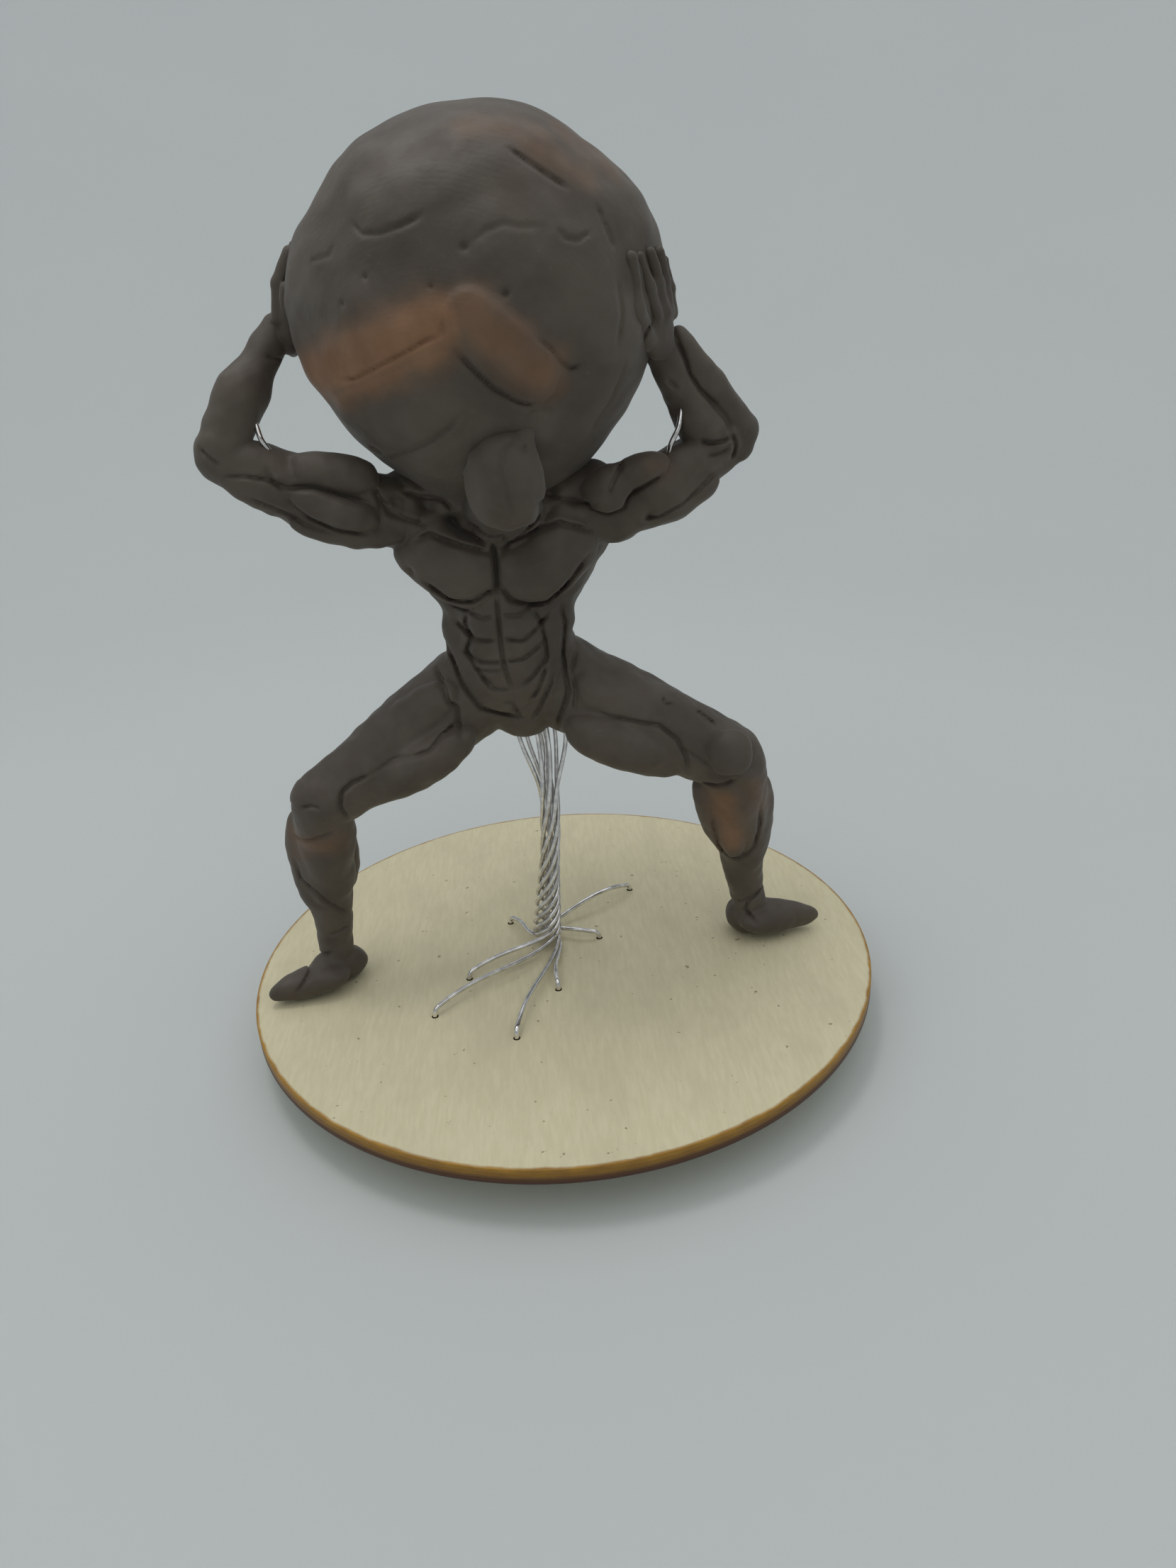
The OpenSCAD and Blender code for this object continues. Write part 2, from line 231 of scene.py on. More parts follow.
def plywood_material():
    s = Shader("laser_cut_plywood")
    here = s.place()
    grain = s.noise(s.place(scale=(1.0, 0.16, 1.0), spin=(0, 0, 0.05)), 1300.0, 4.0, 0.6)
    cloud = s.noise(s.place(scale=(1.0, 0.6, 1.0)), 100.0, 4.0)
    speck = s.noise(here, 620.0, 2.0, 0.5)
    face = s.mix(s.ramp(grain, 0.3, 0.72), (0.675, 0.61, 0.40), (0.735, 0.67, 0.455))
    face = s.mix(s.ramp(cloud, 0.42, 0.72, 0.0, 0.5), face, (0.60, 0.535, 0.36))
    face = s.mix(s.ramp(speck, 0.715, 0.76, 0.0, 0.8), face, (0.26, 0.20, 0.11))
    radius, height = s.round_place()
    wobble = s.math("MULTIPLY", s.noise(here, 300.0, 2.0), 0.0006)
    rim = s.ramp(s.math("ADD", radius, wobble), (DECK_R - 0.5) * MM, (DECK_R + 0.15) * MM)
    scorch_and_low_edge_shade = s.mix(s.noise(s.place(scale=(1, 1, 4)), 260.0, 4.0), (0.52, 0.27, 0.016), (0.20, 0.085, 0.008))
    # Towards its bottom the cut edge is painted nearly black: painted shade where the edge turns under into
    # the dark gap below the disc, laid over its real scorch colour.
    low = s.ramp(height, (DECK_TOP - DECK_THICK + 0.3) * MM, (DECK_TOP - 0.25) * MM)
    scorch_and_low_edge_shade = s.mix(low, (0.060, 0.016, 0.004), scorch_and_low_edge_shade)
    color = s.mix(rim, face, scorch_and_low_edge_shade)
    rough = s.ramp(rim, 0.0, 1.0, 0.62, 0.45)
    return s.finish(color, rough, Normal=s.bump(grain, 0.00008, 0.35))


def hole_shade_material():
    # The walls of the wire and screw holes are painted nearly black: painted shade inside the narrow holes.
    return plain_material("painted_hole_shade", (0.030, 0.014, 0.005), (0.085, 0.045, 0.016), 900.0, 0.7)


def turned_material(name, dark, light, rough):
    """Metal with fine turning marks round the vertical axis."""
    s = Shader(name)
    radius, height = s.round_place()
    ring = s.node("ShaderNodeCombineXYZ")
    s.fill(ring, X=radius, Z=height)
    marks = s.noise(ring.outputs[0], 3500.0, 3.0)
    color = s.mix(s.ramp(marks, 0.3, 0.7), dark, light)
    roughness = s.ramp(marks, 0.3, 0.7, rough, rough + 0.15)
    return s.finish(color, roughness, Normal=s.bump(marks, 0.00003, 0.4), Metallic=1.0)


def plain_material(name, dark, light, scale, rough, **inputs):
    """A moulded or crumpled material: two tones and a fine bump."""
    s = Shader(name)
    tone = s.noise(s.place(), scale, 4.0)
    color = s.mix(s.ramp(tone, 0.3, 0.7), dark, light)
    return s.finish(color, rough, Normal=s.bump(tone, 0.0001, 0.5), **inputs)


# ---------- meshes ----------

def new_piece(name, points, faces, material, body, replaced, smooth=True):
    """Makes a mesh piece from points in millimetres and hangs it on the frame."""
    mesh = bpy.data.meshes.new(name)
    mesh.from_pydata((np.asarray(points) * MM).tolist(), [], faces)
    mesh.validate()
    mesh.polygons.foreach_set("use_smooth", [smooth] * len(mesh.polygons))
    mesh.materials.append(material)
    made = bpy.data.objects.new(name, mesh)
    bpy.context.collection.objects.link(made)
    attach(made, body)
    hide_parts(*replaced)
    return made


def tube(path):
    """Points and faces of a closed round wire along a path."""
    sides = 10
    path = np.asarray(path, float)
    steps = np.gradient(path, axis=0)
    steps /= np.linalg.norm(steps, axis=1)[:, None]
    side = np.cross(steps[0], (0.3, 1.0, 0.1))
    side /= np.linalg.norm(side)
    rings = []
    for spot, step in zip(path, steps):
        side = side - step * side.dot(step)
        side /= np.linalg.norm(side)
        other = np.cross(step, side)
        turn = np.arange(sides) * 2 * math.pi / sides
        rings.append(spot + WIRE_R * (np.outer(np.cos(turn), side) + np.outer(np.sin(turn), other)))
    points = np.concatenate(rings)
    faces = [tuple(range(sides))[::-1]]
    for i in range(len(path) - 1):
        for k in range(sides):
            a, b = i * sides + k, i * sides + (k + 1) % sides
            faces.append((a, b, b + sides, a + sides))
    last = (len(path) - 1) * sides
    faces.append(tuple(range(last, last + sides)))
    return points, faces


def through(points, steps):
    """A smooth path through a few points."""
    p = np.asarray(points, float)
    p = np.concatenate([p[:1], p, p[-1:]])
    path = []
    for i in range(1, len(p) - 2):
        for t in np.arange(steps) / steps:
            path.append(0.5 * (2 * p[i] + (p[i + 1] - p[i - 1]) * t
                               + (2 * p[i - 1] - 5 * p[i] + 4 * p[i + 1] - p[i + 2]) * t * t
                               + (3 * p[i] - p[i - 1] - 3 * p[i + 1] + p[i + 2]) * t ** 3))
    return np.array(path + [p[-2]])


def lathe(profile, segments):
    """Points and faces of a solid turned round Z from a closed profile of (radius, height) points."""
    turn = np.arange(segments) * 2 * math.pi / segments
    ends = len(profile)
    points = [(r * math.cos(a), r * math.sin(a), z) for a in turn for r, z in profile]
    faces = []
    for k in range(segments):
        this, after = k * ends, (k + 1) % segments * ends
        for j in range(ends - 1):
            faces.append((this + j, after + j, after + j + 1, this + j + 1))
    faces.append(tuple(k * ends for k in reversed(range(segments))))
    faces.append(tuple(k * ends + ends - 1 for k in range(segments)))
    return points, faces


# ---------- clay as distance fields ----------

VOXEL = 0.34
FAR = 9.0  # distance kept where there is no clay
BAND = 1.7  # half depth of the layer round the skin that is worked on
SWELL = 0.24  # half length of a limb's bulge, in limb lengths
SEAM_HALF = 0.55  # half width of the groove between two lumps
SINK, UNDERLAP = 0.1, 0.35  # how a lump dips below its neighbours and how far it goes under them
LIP, LIP_AT = 0.04, 2.4  # height of a crease's lips in depths, and their place in half widths
SOLE = 0.4  # the feet are pressed flat up to this height


def smooth_min(a, b, k):
    """Union of two distances with a fillet of about k millimetres."""
    h = np.maximum(k - np.abs(a - b), 0.0) / k
    return np.minimum(a, b) - h * h * k * 0.25


def unit(v):
    v = np.asarray(v, float)
    return v / np.linalg.norm(v)


class Limb:
    """A round limb from a to b whose radius goes from ra to rb, swelling by bulge between."""

    def __init__(self, a, b, ra, rb, bulge=0.0, at=0.5):
        self.a, self.b = np.asarray(a, float), np.asarray(b, float)
        self.ra, self.rb, self.bulge, self.at = ra, rb, bulge, at
        r = max(ra, rb) + abs(bulge)
        self.low = np.minimum(self.a, self.b) - r
        self.high = np.maximum(self.a, self.b) + r

    def __call__(self, x, y, z):
        d = self.b - self.a
        px, py, pz = x - self.a[0], y - self.a[1], z - self.a[2]
        t = np.clip((px * d[0] + py * d[1] + pz * d[2]) / (d @ d), 0, 1)
        r = self.ra + (self.rb - self.ra) * t
        if self.bulge:
            r = r + self.bulge * np.exp(-((t - self.at) / SWELL) ** 2)
        return np.sqrt((px - d[0] * t) ** 2 + (py - d[1] * t) ** 2 + (pz - d[2] * t) ** 2) - r


class Pad:
    """A cushion of clay: long half length, wide half width, thick half thickness along out."""

    def __init__(self, at, along, out, long, wide, thick, square=2.0, taper=0.0):
        self.at = np.asarray(at, float)
        self.out = unit(out)
        self.along = unit(np.asarray(along, float) - self.out * np.dot(along, self.out))
        self.side = np.cross(self.out, self.along)
        self.long, self.wide, self.thick = long, wide, thick
        self.square, self.taper = square, taper
        r = max(long, wide, thick)
        self.low, self.high = self.at - r, self.at + r

    def __call__(self, x, y, z):
        px, py, pz = x - self.at[0], y - self.at[1], z - self.at[2]
        u, v, w = (px * n[0] + py * n[1] + pz * n[2] for n in (self.along, self.side, self.out))
        wide = self.wide * (1 + self.taper * np.clip(u / self.long, -1, 1))
        m = self.square
        plan = (np.abs(u / self.long) ** m + np.abs(v / wide) ** m) ** (2 / m)
        k0 = np.sqrt(plan + (w / self.thick) ** 2)
        k1 = np.sqrt((u / self.long ** 2) ** 2 + (v / wide ** 2) ** 2 + (w / self.thick ** 2) ** 2)
        return k0 * (k0 - 1) / np.maximum(k1, 1e-4)


class Lump:
    """One separate lump of clay: its solids, how softly they join each other (inner) and the
    neighbours (outer), and how deep a groove runs round it (seam)."""

    def __init__(self, node, solids, inner, outer=1.5, seam=0.0):
        self.node, self.solids = node, solids
        self.inner, self.outer, self.seam = inner, outer, seam


class Clay:
    """Lumps of clay on one lattice, blended, creased and cut apart again."""

    def __init__(self, lumps, low, high):
        self.lumps = lumps
        self.start = np.floor(np.asarray(low) / VOXEL).astype(int)
        size = np.ceil(np.asarray(high) / VOXEL).astype(int) - self.start
        self.skin = np.full(size, FAR, np.float32)
        best = np.full(size, FAR, np.float32)
        second = np.full(size, FAR, np.float32)
        owner = np.full(size, -1, np.int16)
        self.fields = []
        for number, lump in enumerate(lumps):
            window, (x, y, z) = self.window(lump)
            own = lump.solids[0](x, y, z)
            for solid in lump.solids[1:]:
                own = smooth_min(own, solid(x, y, z), lump.inner)
            own = own.astype(np.float32)
            self.fields.append((window, own))
            self.skin[window] = smooth_min(self.skin[window], own, lump.outer)
            nearer = own < best[window]
            second[window] = np.where(nearer, best[window], np.minimum(second[window], own))
            owner[window] = np.where(nearer, number, owner[window])
            best[window] = np.where(nearer, own, best[window])
        self.best, self.second, self.owner = best, second, owner

    def window(self, lump):
        margin = 3.0
        low = np.min([s.low for s in lump.solids], axis=0) - margin
        high = np.max([s.high for s in lump.solids], axis=0) + margin
        i0 = np.maximum(np.floor(low / VOXEL).astype(int) - self.start, 0)
        i1 = np.minimum(np.ceil(high / VOXEL).astype(int) - self.start, self.skin.shape)
        window = tuple(slice(a, b) for a, b in zip(i0, i1))
        axes = [(np.arange(a, b) + s) * VOXEL for a, b, s in zip(i0, i1, self.start)]
        return window, (axes[0][:, None, None], axes[1][None, :, None], axes[2][None, None, :])

    def shell(self):
        """Lattice cells near the skin and their places."""
        cells = np.nonzero(np.abs(self.skin) < BAND)
        x, y, z = ((c + s) * VOXEL for c, s in zip(cells, self.start))
        return cells, x, y, z

    def press(self, change):
        """Moves the skin in by change(x, y, z) millimetres near the surface."""
        cells, x, y, z = self.shell()
        self.skin[cells] += change(x, y, z).astype(np.float32)

    def groove_seams(self):
        cells, x, y, z = self.shell()
        gap = self.second[cells] - self.best[cells]
        seam = np.array([lump.seam for lump in self.lumps] + [0.0])[self.owner[cells]]
        uneven = 0.65 + 0.5 * ripple(x, y, z, 5.0, 11)
        self.skin[cells] += (seam * uneven * np.exp(-(gap / SEAM_HALF) ** 2)).astype(np.float32)

    def cut(self, number):
        """Points and faces of one lump, reaching a little under its neighbours' skin."""
        window, own = self.fields[number]
        mine = self.owner[window] == number
        other = np.where(mine, self.second[window], self.best[window])
        over = own - other
        piece = np.maximum(self.skin[window] + SINK * np.clip(over, 0, 1), 0.5 * over - UNDERLAP)
        return polygons(piece, self.start + [s.start for s in window])


def polygons(values, start):
    """Points and faces of the surface where the distances are zero."""
    grid = openvdb.FloatGrid(BAND)
    values = np.clip(np.pad(values, 1, constant_values=BAND), -BAND, BAND)
    grid.copyFromArray(np.ascontiguousarray(values, dtype=np.float32))
    points, quads = grid.convertToQuads(0.0)
    points = (points + (np.asarray(start) - 1)) * VOXEL
    return points + (0, 0, DECK_TOP), quads[:, ::-1]


def ripple(x, y, z, wavelength, seed, waves=10):
    """Smooth random bumps between about -1 and 1."""
    rng = np.random.default_rng(seed)
    total = 0
    for _ in range(waves):
        way = unit(rng.normal(size=3)) * 2 * math.pi / (wavelength * rng.uniform(0.7, 1.5))
        total = total + np.sin(x * way[0] + y * way[1] + z * way[2] + rng.uniform(0, 2 * math.pi))
    return total / math.sqrt(waves / 2) / 2


def along_segment(x, z, start, end):
    """Distance in the front view from each place to a segment, and how far along it is nearest."""
    (ax, az), (bx, bz) = start, end
    dx, dz = bx - ax, bz - az
    t = np.clip(((x - ax) * dx + (z - az) * dz) / (dx * dx + dz * dz), 0, 1)
    return np.hypot(x - ax - dx * t, z - az - dz * t), t


def soft_patch(x, z, start, end, half, edge):
    """1 within half of a segment in the front view, falling to 0 over a soft edge."""
    away, _ = along_segment(x, z, start, end)
    return 1 / (1 + np.exp((away - half) / edge))


def crease_depth(x, z, line, depth, width):
    """How deep a crease along a line of (x, z) points is at each place, with pushed-up lips."""
    line = np.asarray(line, float)
    total = np.zeros(len(x))
    near = ((x > line[:, 0].min() - 2) & (x < line[:, 0].max() + 2)
            & (z > line[:, 1].min() - 2) & (z < line[:, 1].max() + 2))
    if not near.any():
        return total
    px, pz = x[near], z[near]
    lengths = np.linalg.norm(np.diff(line, axis=0), axis=1)
    whole, run = lengths.sum(), 0.0
    best, where = np.full(len(px), 99.0), np.zeros(len(px))
    for start, end, length in zip(line[:-1], line[1:], lengths):
        away, t = along_segment(px, pz, start, end)
        closer = away < best
        best = np.where(closer, away, best)
        where = np.where(closer, (run + t * length) / whole, where)
        run += length
    fade = np.clip(np.minimum(where, 1 - where) * 6 + 0.25, 0, 1)
    lips = LIP * np.exp(-((best - LIP_AT * width) / width) ** 2)
    total[near] = depth * fade * (np.exp(-(best / width) ** 2) - lips)
    return total


# ---------- the figure: every place is (x, y, height above the deck) ----------

UP = (0, 0, 1)
FRONT = (0, -1, 0)


def finger_row(roots, knuckles, tips, radius):
    """Fingers side by side, each from its root over the middle joint to the tip."""
    rows = []
    for root, knuckle, tip in zip(roots, knuckles, tips):
        rows.append(Limb(root, knuckle, radius * 1.15, radius))
        rows.append(Limb(knuckle, tip, radius, radius * 0.85))
    return rows


FIGURE = [
    # torso
    Lump("pelvis", [
        Limb((-13, 5.5, 54.5), (4, 5.5, 55), 8, 8),
        Pad((-3.5, 5, 51), UP, FRONT, 6.4, 6.5, 6.5),
        Pad((-11.5, 10.5, 54), UP, (-0.2, 1, 0), 8, 7, 5.5),
        Pad((3.5, 10.5, 54.5), UP, (0.2, 1, 0), 8, 7, 5.5),
    ], 1.2, 1, 0.3),
    Lump("abdomen", [
        Pad((-5, 4.2, 65), UP, FRONT, 14, 11.4, 8.2, 2.5),
        Pad((-5.6, -1.4, 65.5), UP, FRONT, 12.5, 7.2, 4.4, 2.6),
        Limb((-13.6, 3, 67), (-9.5, -1, 58), 3, 3.4),
        Limb((3.6, 3, 67), (-0.5, -1, 58), 3, 3.4),
    ], 1.2, 2),
    Lump("chest", [
        Pad((-4.5, 4.5, 79.5), (1, 0, 0), FRONT, 15.5, 11.5, 8.6, 2.4),
        Limb((-19, 4, 88.5), (11, 4.5, 87.5), 6.2, 6.2),
        Limb((-15.8, 7, 82.5), (-11.5, 6, 70), 5, 3.8),
        Limb((11, 8, 83), (2.5, 6, 70), 5, 3.8),
        Pad((-12.5, 11.5, 84), UP, (-0.3, 1, 0.2), 6.5, 4.5, 3),
        Pad((4.5, 11.5, 84), UP, (0.3, 1, 0.2), 6.5, 4.5, 3),
    ], 1.6, 2.5),
    Lump("right_pectoral", [
        Pad((-13.9, -1.7, 80), (-0.78, 0, 0.62), (-0.15, -1, 0.2), 9.3, 6.3, 4.5, 2.9),
        Pad((-17.5, 0.8, 87), (-1, 0, 0.1), (-0.1, -1, 0.3), 6, 3.2, 3.6, 2.4),
    ], 0.5, 0.35, 0.3),
    Lump("left_pectoral", [
        Pad((2.6, -1.7, 79.3), (0.78, 0, 0.58), (0.15, -1, 0.2), 9.6, 6.4, 4.5, 2.9),
        Pad((7, 1, 86.4), (1, 0, 0), (0.1, -1, 0.3), 6, 3, 3.4, 2.4),
    ], 0.5, 0.35, 0.3),
    Lump("neck", [
        Limb((-4, 4, 85), (-3.4, -6, 91), 8, 6),
        Limb((-8, 5, 88.5), (-18, 4.5, 88.8), 4.2, 3.2),
        Limb((0, 5, 87.6), (10, 5, 86.2), 3.7, 2.6),
    ], 1.5, 1, 0.3),
    Lump("head", [
        Pad((-3, -14, 94.2), UP, (-0.2, -1, 0), 7.4, 6.2, 5.6, 2.1, -0.06),
        Limb((-1.8, -14.2, 97), (0.7, -14.6, 101), 3.7, 1.35),
        Limb((-2.2, -14.4, 90.2), (-2.4, -14.2, 91.6), 3.1, 3.4),
        Pad((-7.9, -10.5, 97.5), UP, (-0.6, -1, 0.2), 3.2, 2, 1.8),
    ], 1.4, 0.3, 0.3),
    # right arm
    Lump("right_shoulder", [
        Limb((-19.5, 3, 87.2), (-23.5, 2.2, 88.4), 6.4, 5.8),
        Pad((-32.2, -1.2, 94.8), (-1, 0, 0.16), (0, -1, 0.55), 8.7, 3.9, 4.4, 2.3),
    ], 0.8, 0.5, 0.25),
    Lump("right_upper_arm", [
        Limb((-22, 2, 87.9), (-34, 1, 91), 5.8, 6.2),
        Limb((-33, 1, 91), (-47.6, -2, 99.2), 6, 4),
        Limb((-47.6, -2, 99), (-47.7, -2, 100.4), 4, 4),
        Pad((-41.5, -3, 93.2), (-1, 0, 0.6), (0.1, -1, -0.3), 7, 3.2, 2.6),
        Pad((-29.5, -2.6, 86.3), (-1, 0, 0.25), (0, -1, -0.4), 9.5, 2.6, 3),
    ], 1.2, 0.5, 0.15),
    Lump("right_biceps", [
        Pad((-31, -4, 90.1), (-1, 0, 0.42), (0, -1, -0.05), 7.6, 3.2, 3.3, 2.4),
    ], 1, 0.3, 0.35),
    Lump("right_forearm", [
        Limb((-47.2, -2, 101), (-43.2, 0.6, 108.4), 4.2, 3.4),
        Limb((-43.2, 0.6, 108.4), (-37.2, 5.4, 117), 3.4, 2.4),
        Pad((-45.2, -1.6, 105), (0.5, 0.3, 0.85), (-0.5, -1, 0.2), 6.5, 2.8, 2.8),
    ], 2.5, 0.5, 0.25),
    Lump("right_hand", [
        Pad((-35.6, 6.6, 117.4), UP, (-1, -0.1, 0), 4.6, 4.2, 1.9, 2.6),
        *finger_row([(-35.7, 3, 119), (-35.5, 5.6, 119.6), (-35.5, 8.2, 119.6), (-35.7, 10.6, 119.2)],
                    [(-35.2, 2.8, 123.6), (-35, 5.6, 124.4), (-35, 8.4, 124.4), (-35.2, 11.2, 123.4)],
                    [(-32.8, 2.4, 127.4), (-32.4, 5.2, 128.4), (-32.6, 8.4, 128.2),
                     (-33.2, 11.2, 126.8)], 1.4),
        Limb((-34.8, 3, 116.4), (-33.9, 0.8, 122.6), 1.5, 1.15),
    ], 0.5, 0.5),
    # left arm
    Lump("left_shoulder", [
        Limb((9.5, 4.5, 85.8), (15, 4.3, 85.4), 6, 5.6),
    ], 1, 0.8, 0.25),
    Lump("left_upper_arm", [
        Limb((11, 4, 85.4), (24, 4, 88.1), 5.6, 5.7),
        Limb((22, 4, 88), (35.6, 6, 95.2), 5.6, 4),
        Pad((25.5, 3.2, 86.6), (1, 0, 0.6), (0, -1, -0.6), 8, 2.8, 3.2),
        Limb((21, 1.2, 89.2), (33.5, 3.4, 95.6), 3.8, 3.4),
    ], 0.7, 0.5, 0.15),
    Lump("left_biceps", [
        Pad((13.2, -2.6, 89.8), (1, 0, 0.7), FRONT, 4.3, 3.7, 3, 2.3),
        Pad((18.9, -1.6, 92.4), (1, 0, 0.22), (0, -1, 0.25), 5.2, 2.5, 3.2, 2.3),
    ], 0.3, 0.3, 0.3),
    Lump("left_forearm", [
        Limb((23.2, 2, 110.8), (27.3, 3.4, 103.5), 2.9, 3.3),
        Limb((27.3, 3.4, 103.5), (30.8, 3.8, 97), 3.3, 4.5),
        Limb((26.4, 2.4, 112), (32.4, 3.6, 103.5), 1.9, 2.5),
        Limb((32.4, 3.6, 103.5), (36.4, 5.2, 96.6), 2.5, 3.5),
        Limb((36.4, 5.2, 96.6), (36.2, 5, 94.4), 3.6, 3.1),
    ], 0.4, 0.45, 0.3),
    Lump("left_hand", [
        Pad((22.6, -1.2, 114.4), UP, (0.75, -0.6, 0.1), 5.4, 3.9, 1.9, 2.8),
        Limb((20.2, -4, 112.4), (18.7, -8.2, 116.8), 2, 1.5),
        Limb((18.7, -8.2, 116.8), (18.1, -9.6, 123.6), 1.5, 1.1),
        *finger_row([(22.2, -3.6, 115.6), (23.4, -2, 116), (24.4, -0.2, 116), (25.3, 1.6, 115.6)],
                    [(20.9, -6.4, 119.8), (22.4, -4.4, 120.2), (23.8, -1.9, 120.2), (24.9, 0.9, 119.3)],
                    [(19.4, -8, 123.9), (21.2, -5.9, 124.3), (22.9, -2.9, 124.3), (24.2, 0.4, 123.2)], 1),
    ], 0.6, 0.5),
    # legs
    Lump("right_thigh", [
        Limb((-14, 5.5, 53.2), (-38.8, -7.5, 41), 8.7, 5.7, 0.3),
        Pad((-24.5, -5.4, 44.9), (-0.84, -0.3, -0.42), (0.25, -1, -0.35), 13, 4.7, 5.2, 2.3),
        Pad((-26.5, -3.6, 50), (-0.84, -0.3, -0.48), (-0.2, -1, 0.5), 14, 4.4, 3.9, 2.4),
    ], 0.5, 0.8, 0.25),
    Lump("left_thigh", [
        Limb((5, 5.5, 53.6), (32.5, -7.2, 42), 8.7, 6.1, 0.3),
        Pad((14.6, -5, 45.3), (0.84, -0.3, -0.38), (-0.25, -1, -0.3), 11.8, 4.9, 5.2, 2.3),
        Pad((17.5, -3.6, 49.8), (0.84, -0.3, -0.42), (0.2, -1, 0.5), 14, 4.4, 3.9, 2.4),
    ], 0.5, 0.8, 0.25),
    Lump("right_kneecap", [
        Pad((-40.8, -9.6, 40.9), (-0.5, 0, 1), (-0.2, -1, 0.3), 4.5, 4, 3.2, 3.4),
    ], 1, 1.6),
    Lump("left_kneecap", [
        Pad((31.8, -12.2, 45.2), UP, (0.05, -1, 0.4), 4, 3.9, 2.3, 2.5),
    ], 1, 0.5, 0.35),
    Lump("right_shin", [
        Limb((-40.7, -7.5, 39.5), (-43.6, -2.8, 9.5), 5.2, 3.3, 0.6, 0.3),
        Pad((-45.6, -5, 27), (0.05, 0.1, 1), (-0.8, -1, 0), 11, 3.6, 3.2),
    ], 1, 0.8, 0.2),
    Lump("left_shin", [
        Limb((33.2, -7.4, 40.5), (37.1, 0.8, 10), 5.7, 3.4, 0.5, 0.3),
        Pad((38, -3.6, 27), (0.05, 0.2, 1), (0.8, -1, 0), 10, 3.5, 3.2),
    ], 1, 0.8, 0.2),
    Lump("right_calf", [
        Pad((-41.6, -5.8, 26.5), (0.06, 0.12, 1), (0.3, -1, 0), 9.6, 4.8, 4, 2.2),
        Pad((-42, 0.4, 27), (0, 0.1, 1), (0.1, 1, 0), 10.5, 4.8, 4.2),
    ], 1, 0.4, 0.3),
    Lump("left_calf", [
        Pad((31.8, -5.8, 30.6), (-0.2, 0.15, 1), (-0.1, -1, 0), 10, 4.9, 4, 2.3, 0.22),
        Pad((35, 1.8, 28), (0, 0.1, 1), (0.1, 1, 0), 10.5, 4.8, 4.2),
    ], 1, 0.4, 0.3),
    Lump("right_foot", [
        Limb((-43.8, -2.8, 9.5), (-43.8, -3.6, 6.5), 3.3, 3.2),
        Pad((-43.8, -4.4, 3.5), (-0.86, -0.5, 0), (0, 0.1, 1), 5.6, 3.6, 3.6, 3, 0.1),
        Pad((-48.6, -8.6, 3.2), (-0.88, -0.42, -0.16), (-0.1, 0.05, 1), 7.8, 3.7, 2.6, 2.5, -0.62),
        Pad((-49.8, -7.2, 3.2), (-0.8, -0.5, -0.3), (-0.4, 0.3, 1), 5.4, 2.5, 2.2, 2.6, -0.4),
    ], 0.5, 0.6, 0.2),
    Lump("left_foot", [
        Limb((37.2, 0.8, 9.6), (38, 0.4, 6.4), 3.4, 3.2),
        Pad((37.6, 1, 3.6), (1, -0.2, 0), (0, 0.05, 1), 4.4, 3.7, 3.8, 3),
        Pad((43.3, -0.6, 3.8), (1, 0.04, -0.30), (0.1, -0.1, 1), 8.3, 3.9, 3, 2.5, -0.66),
    ], 0.5, 0.6, 0.2),
]

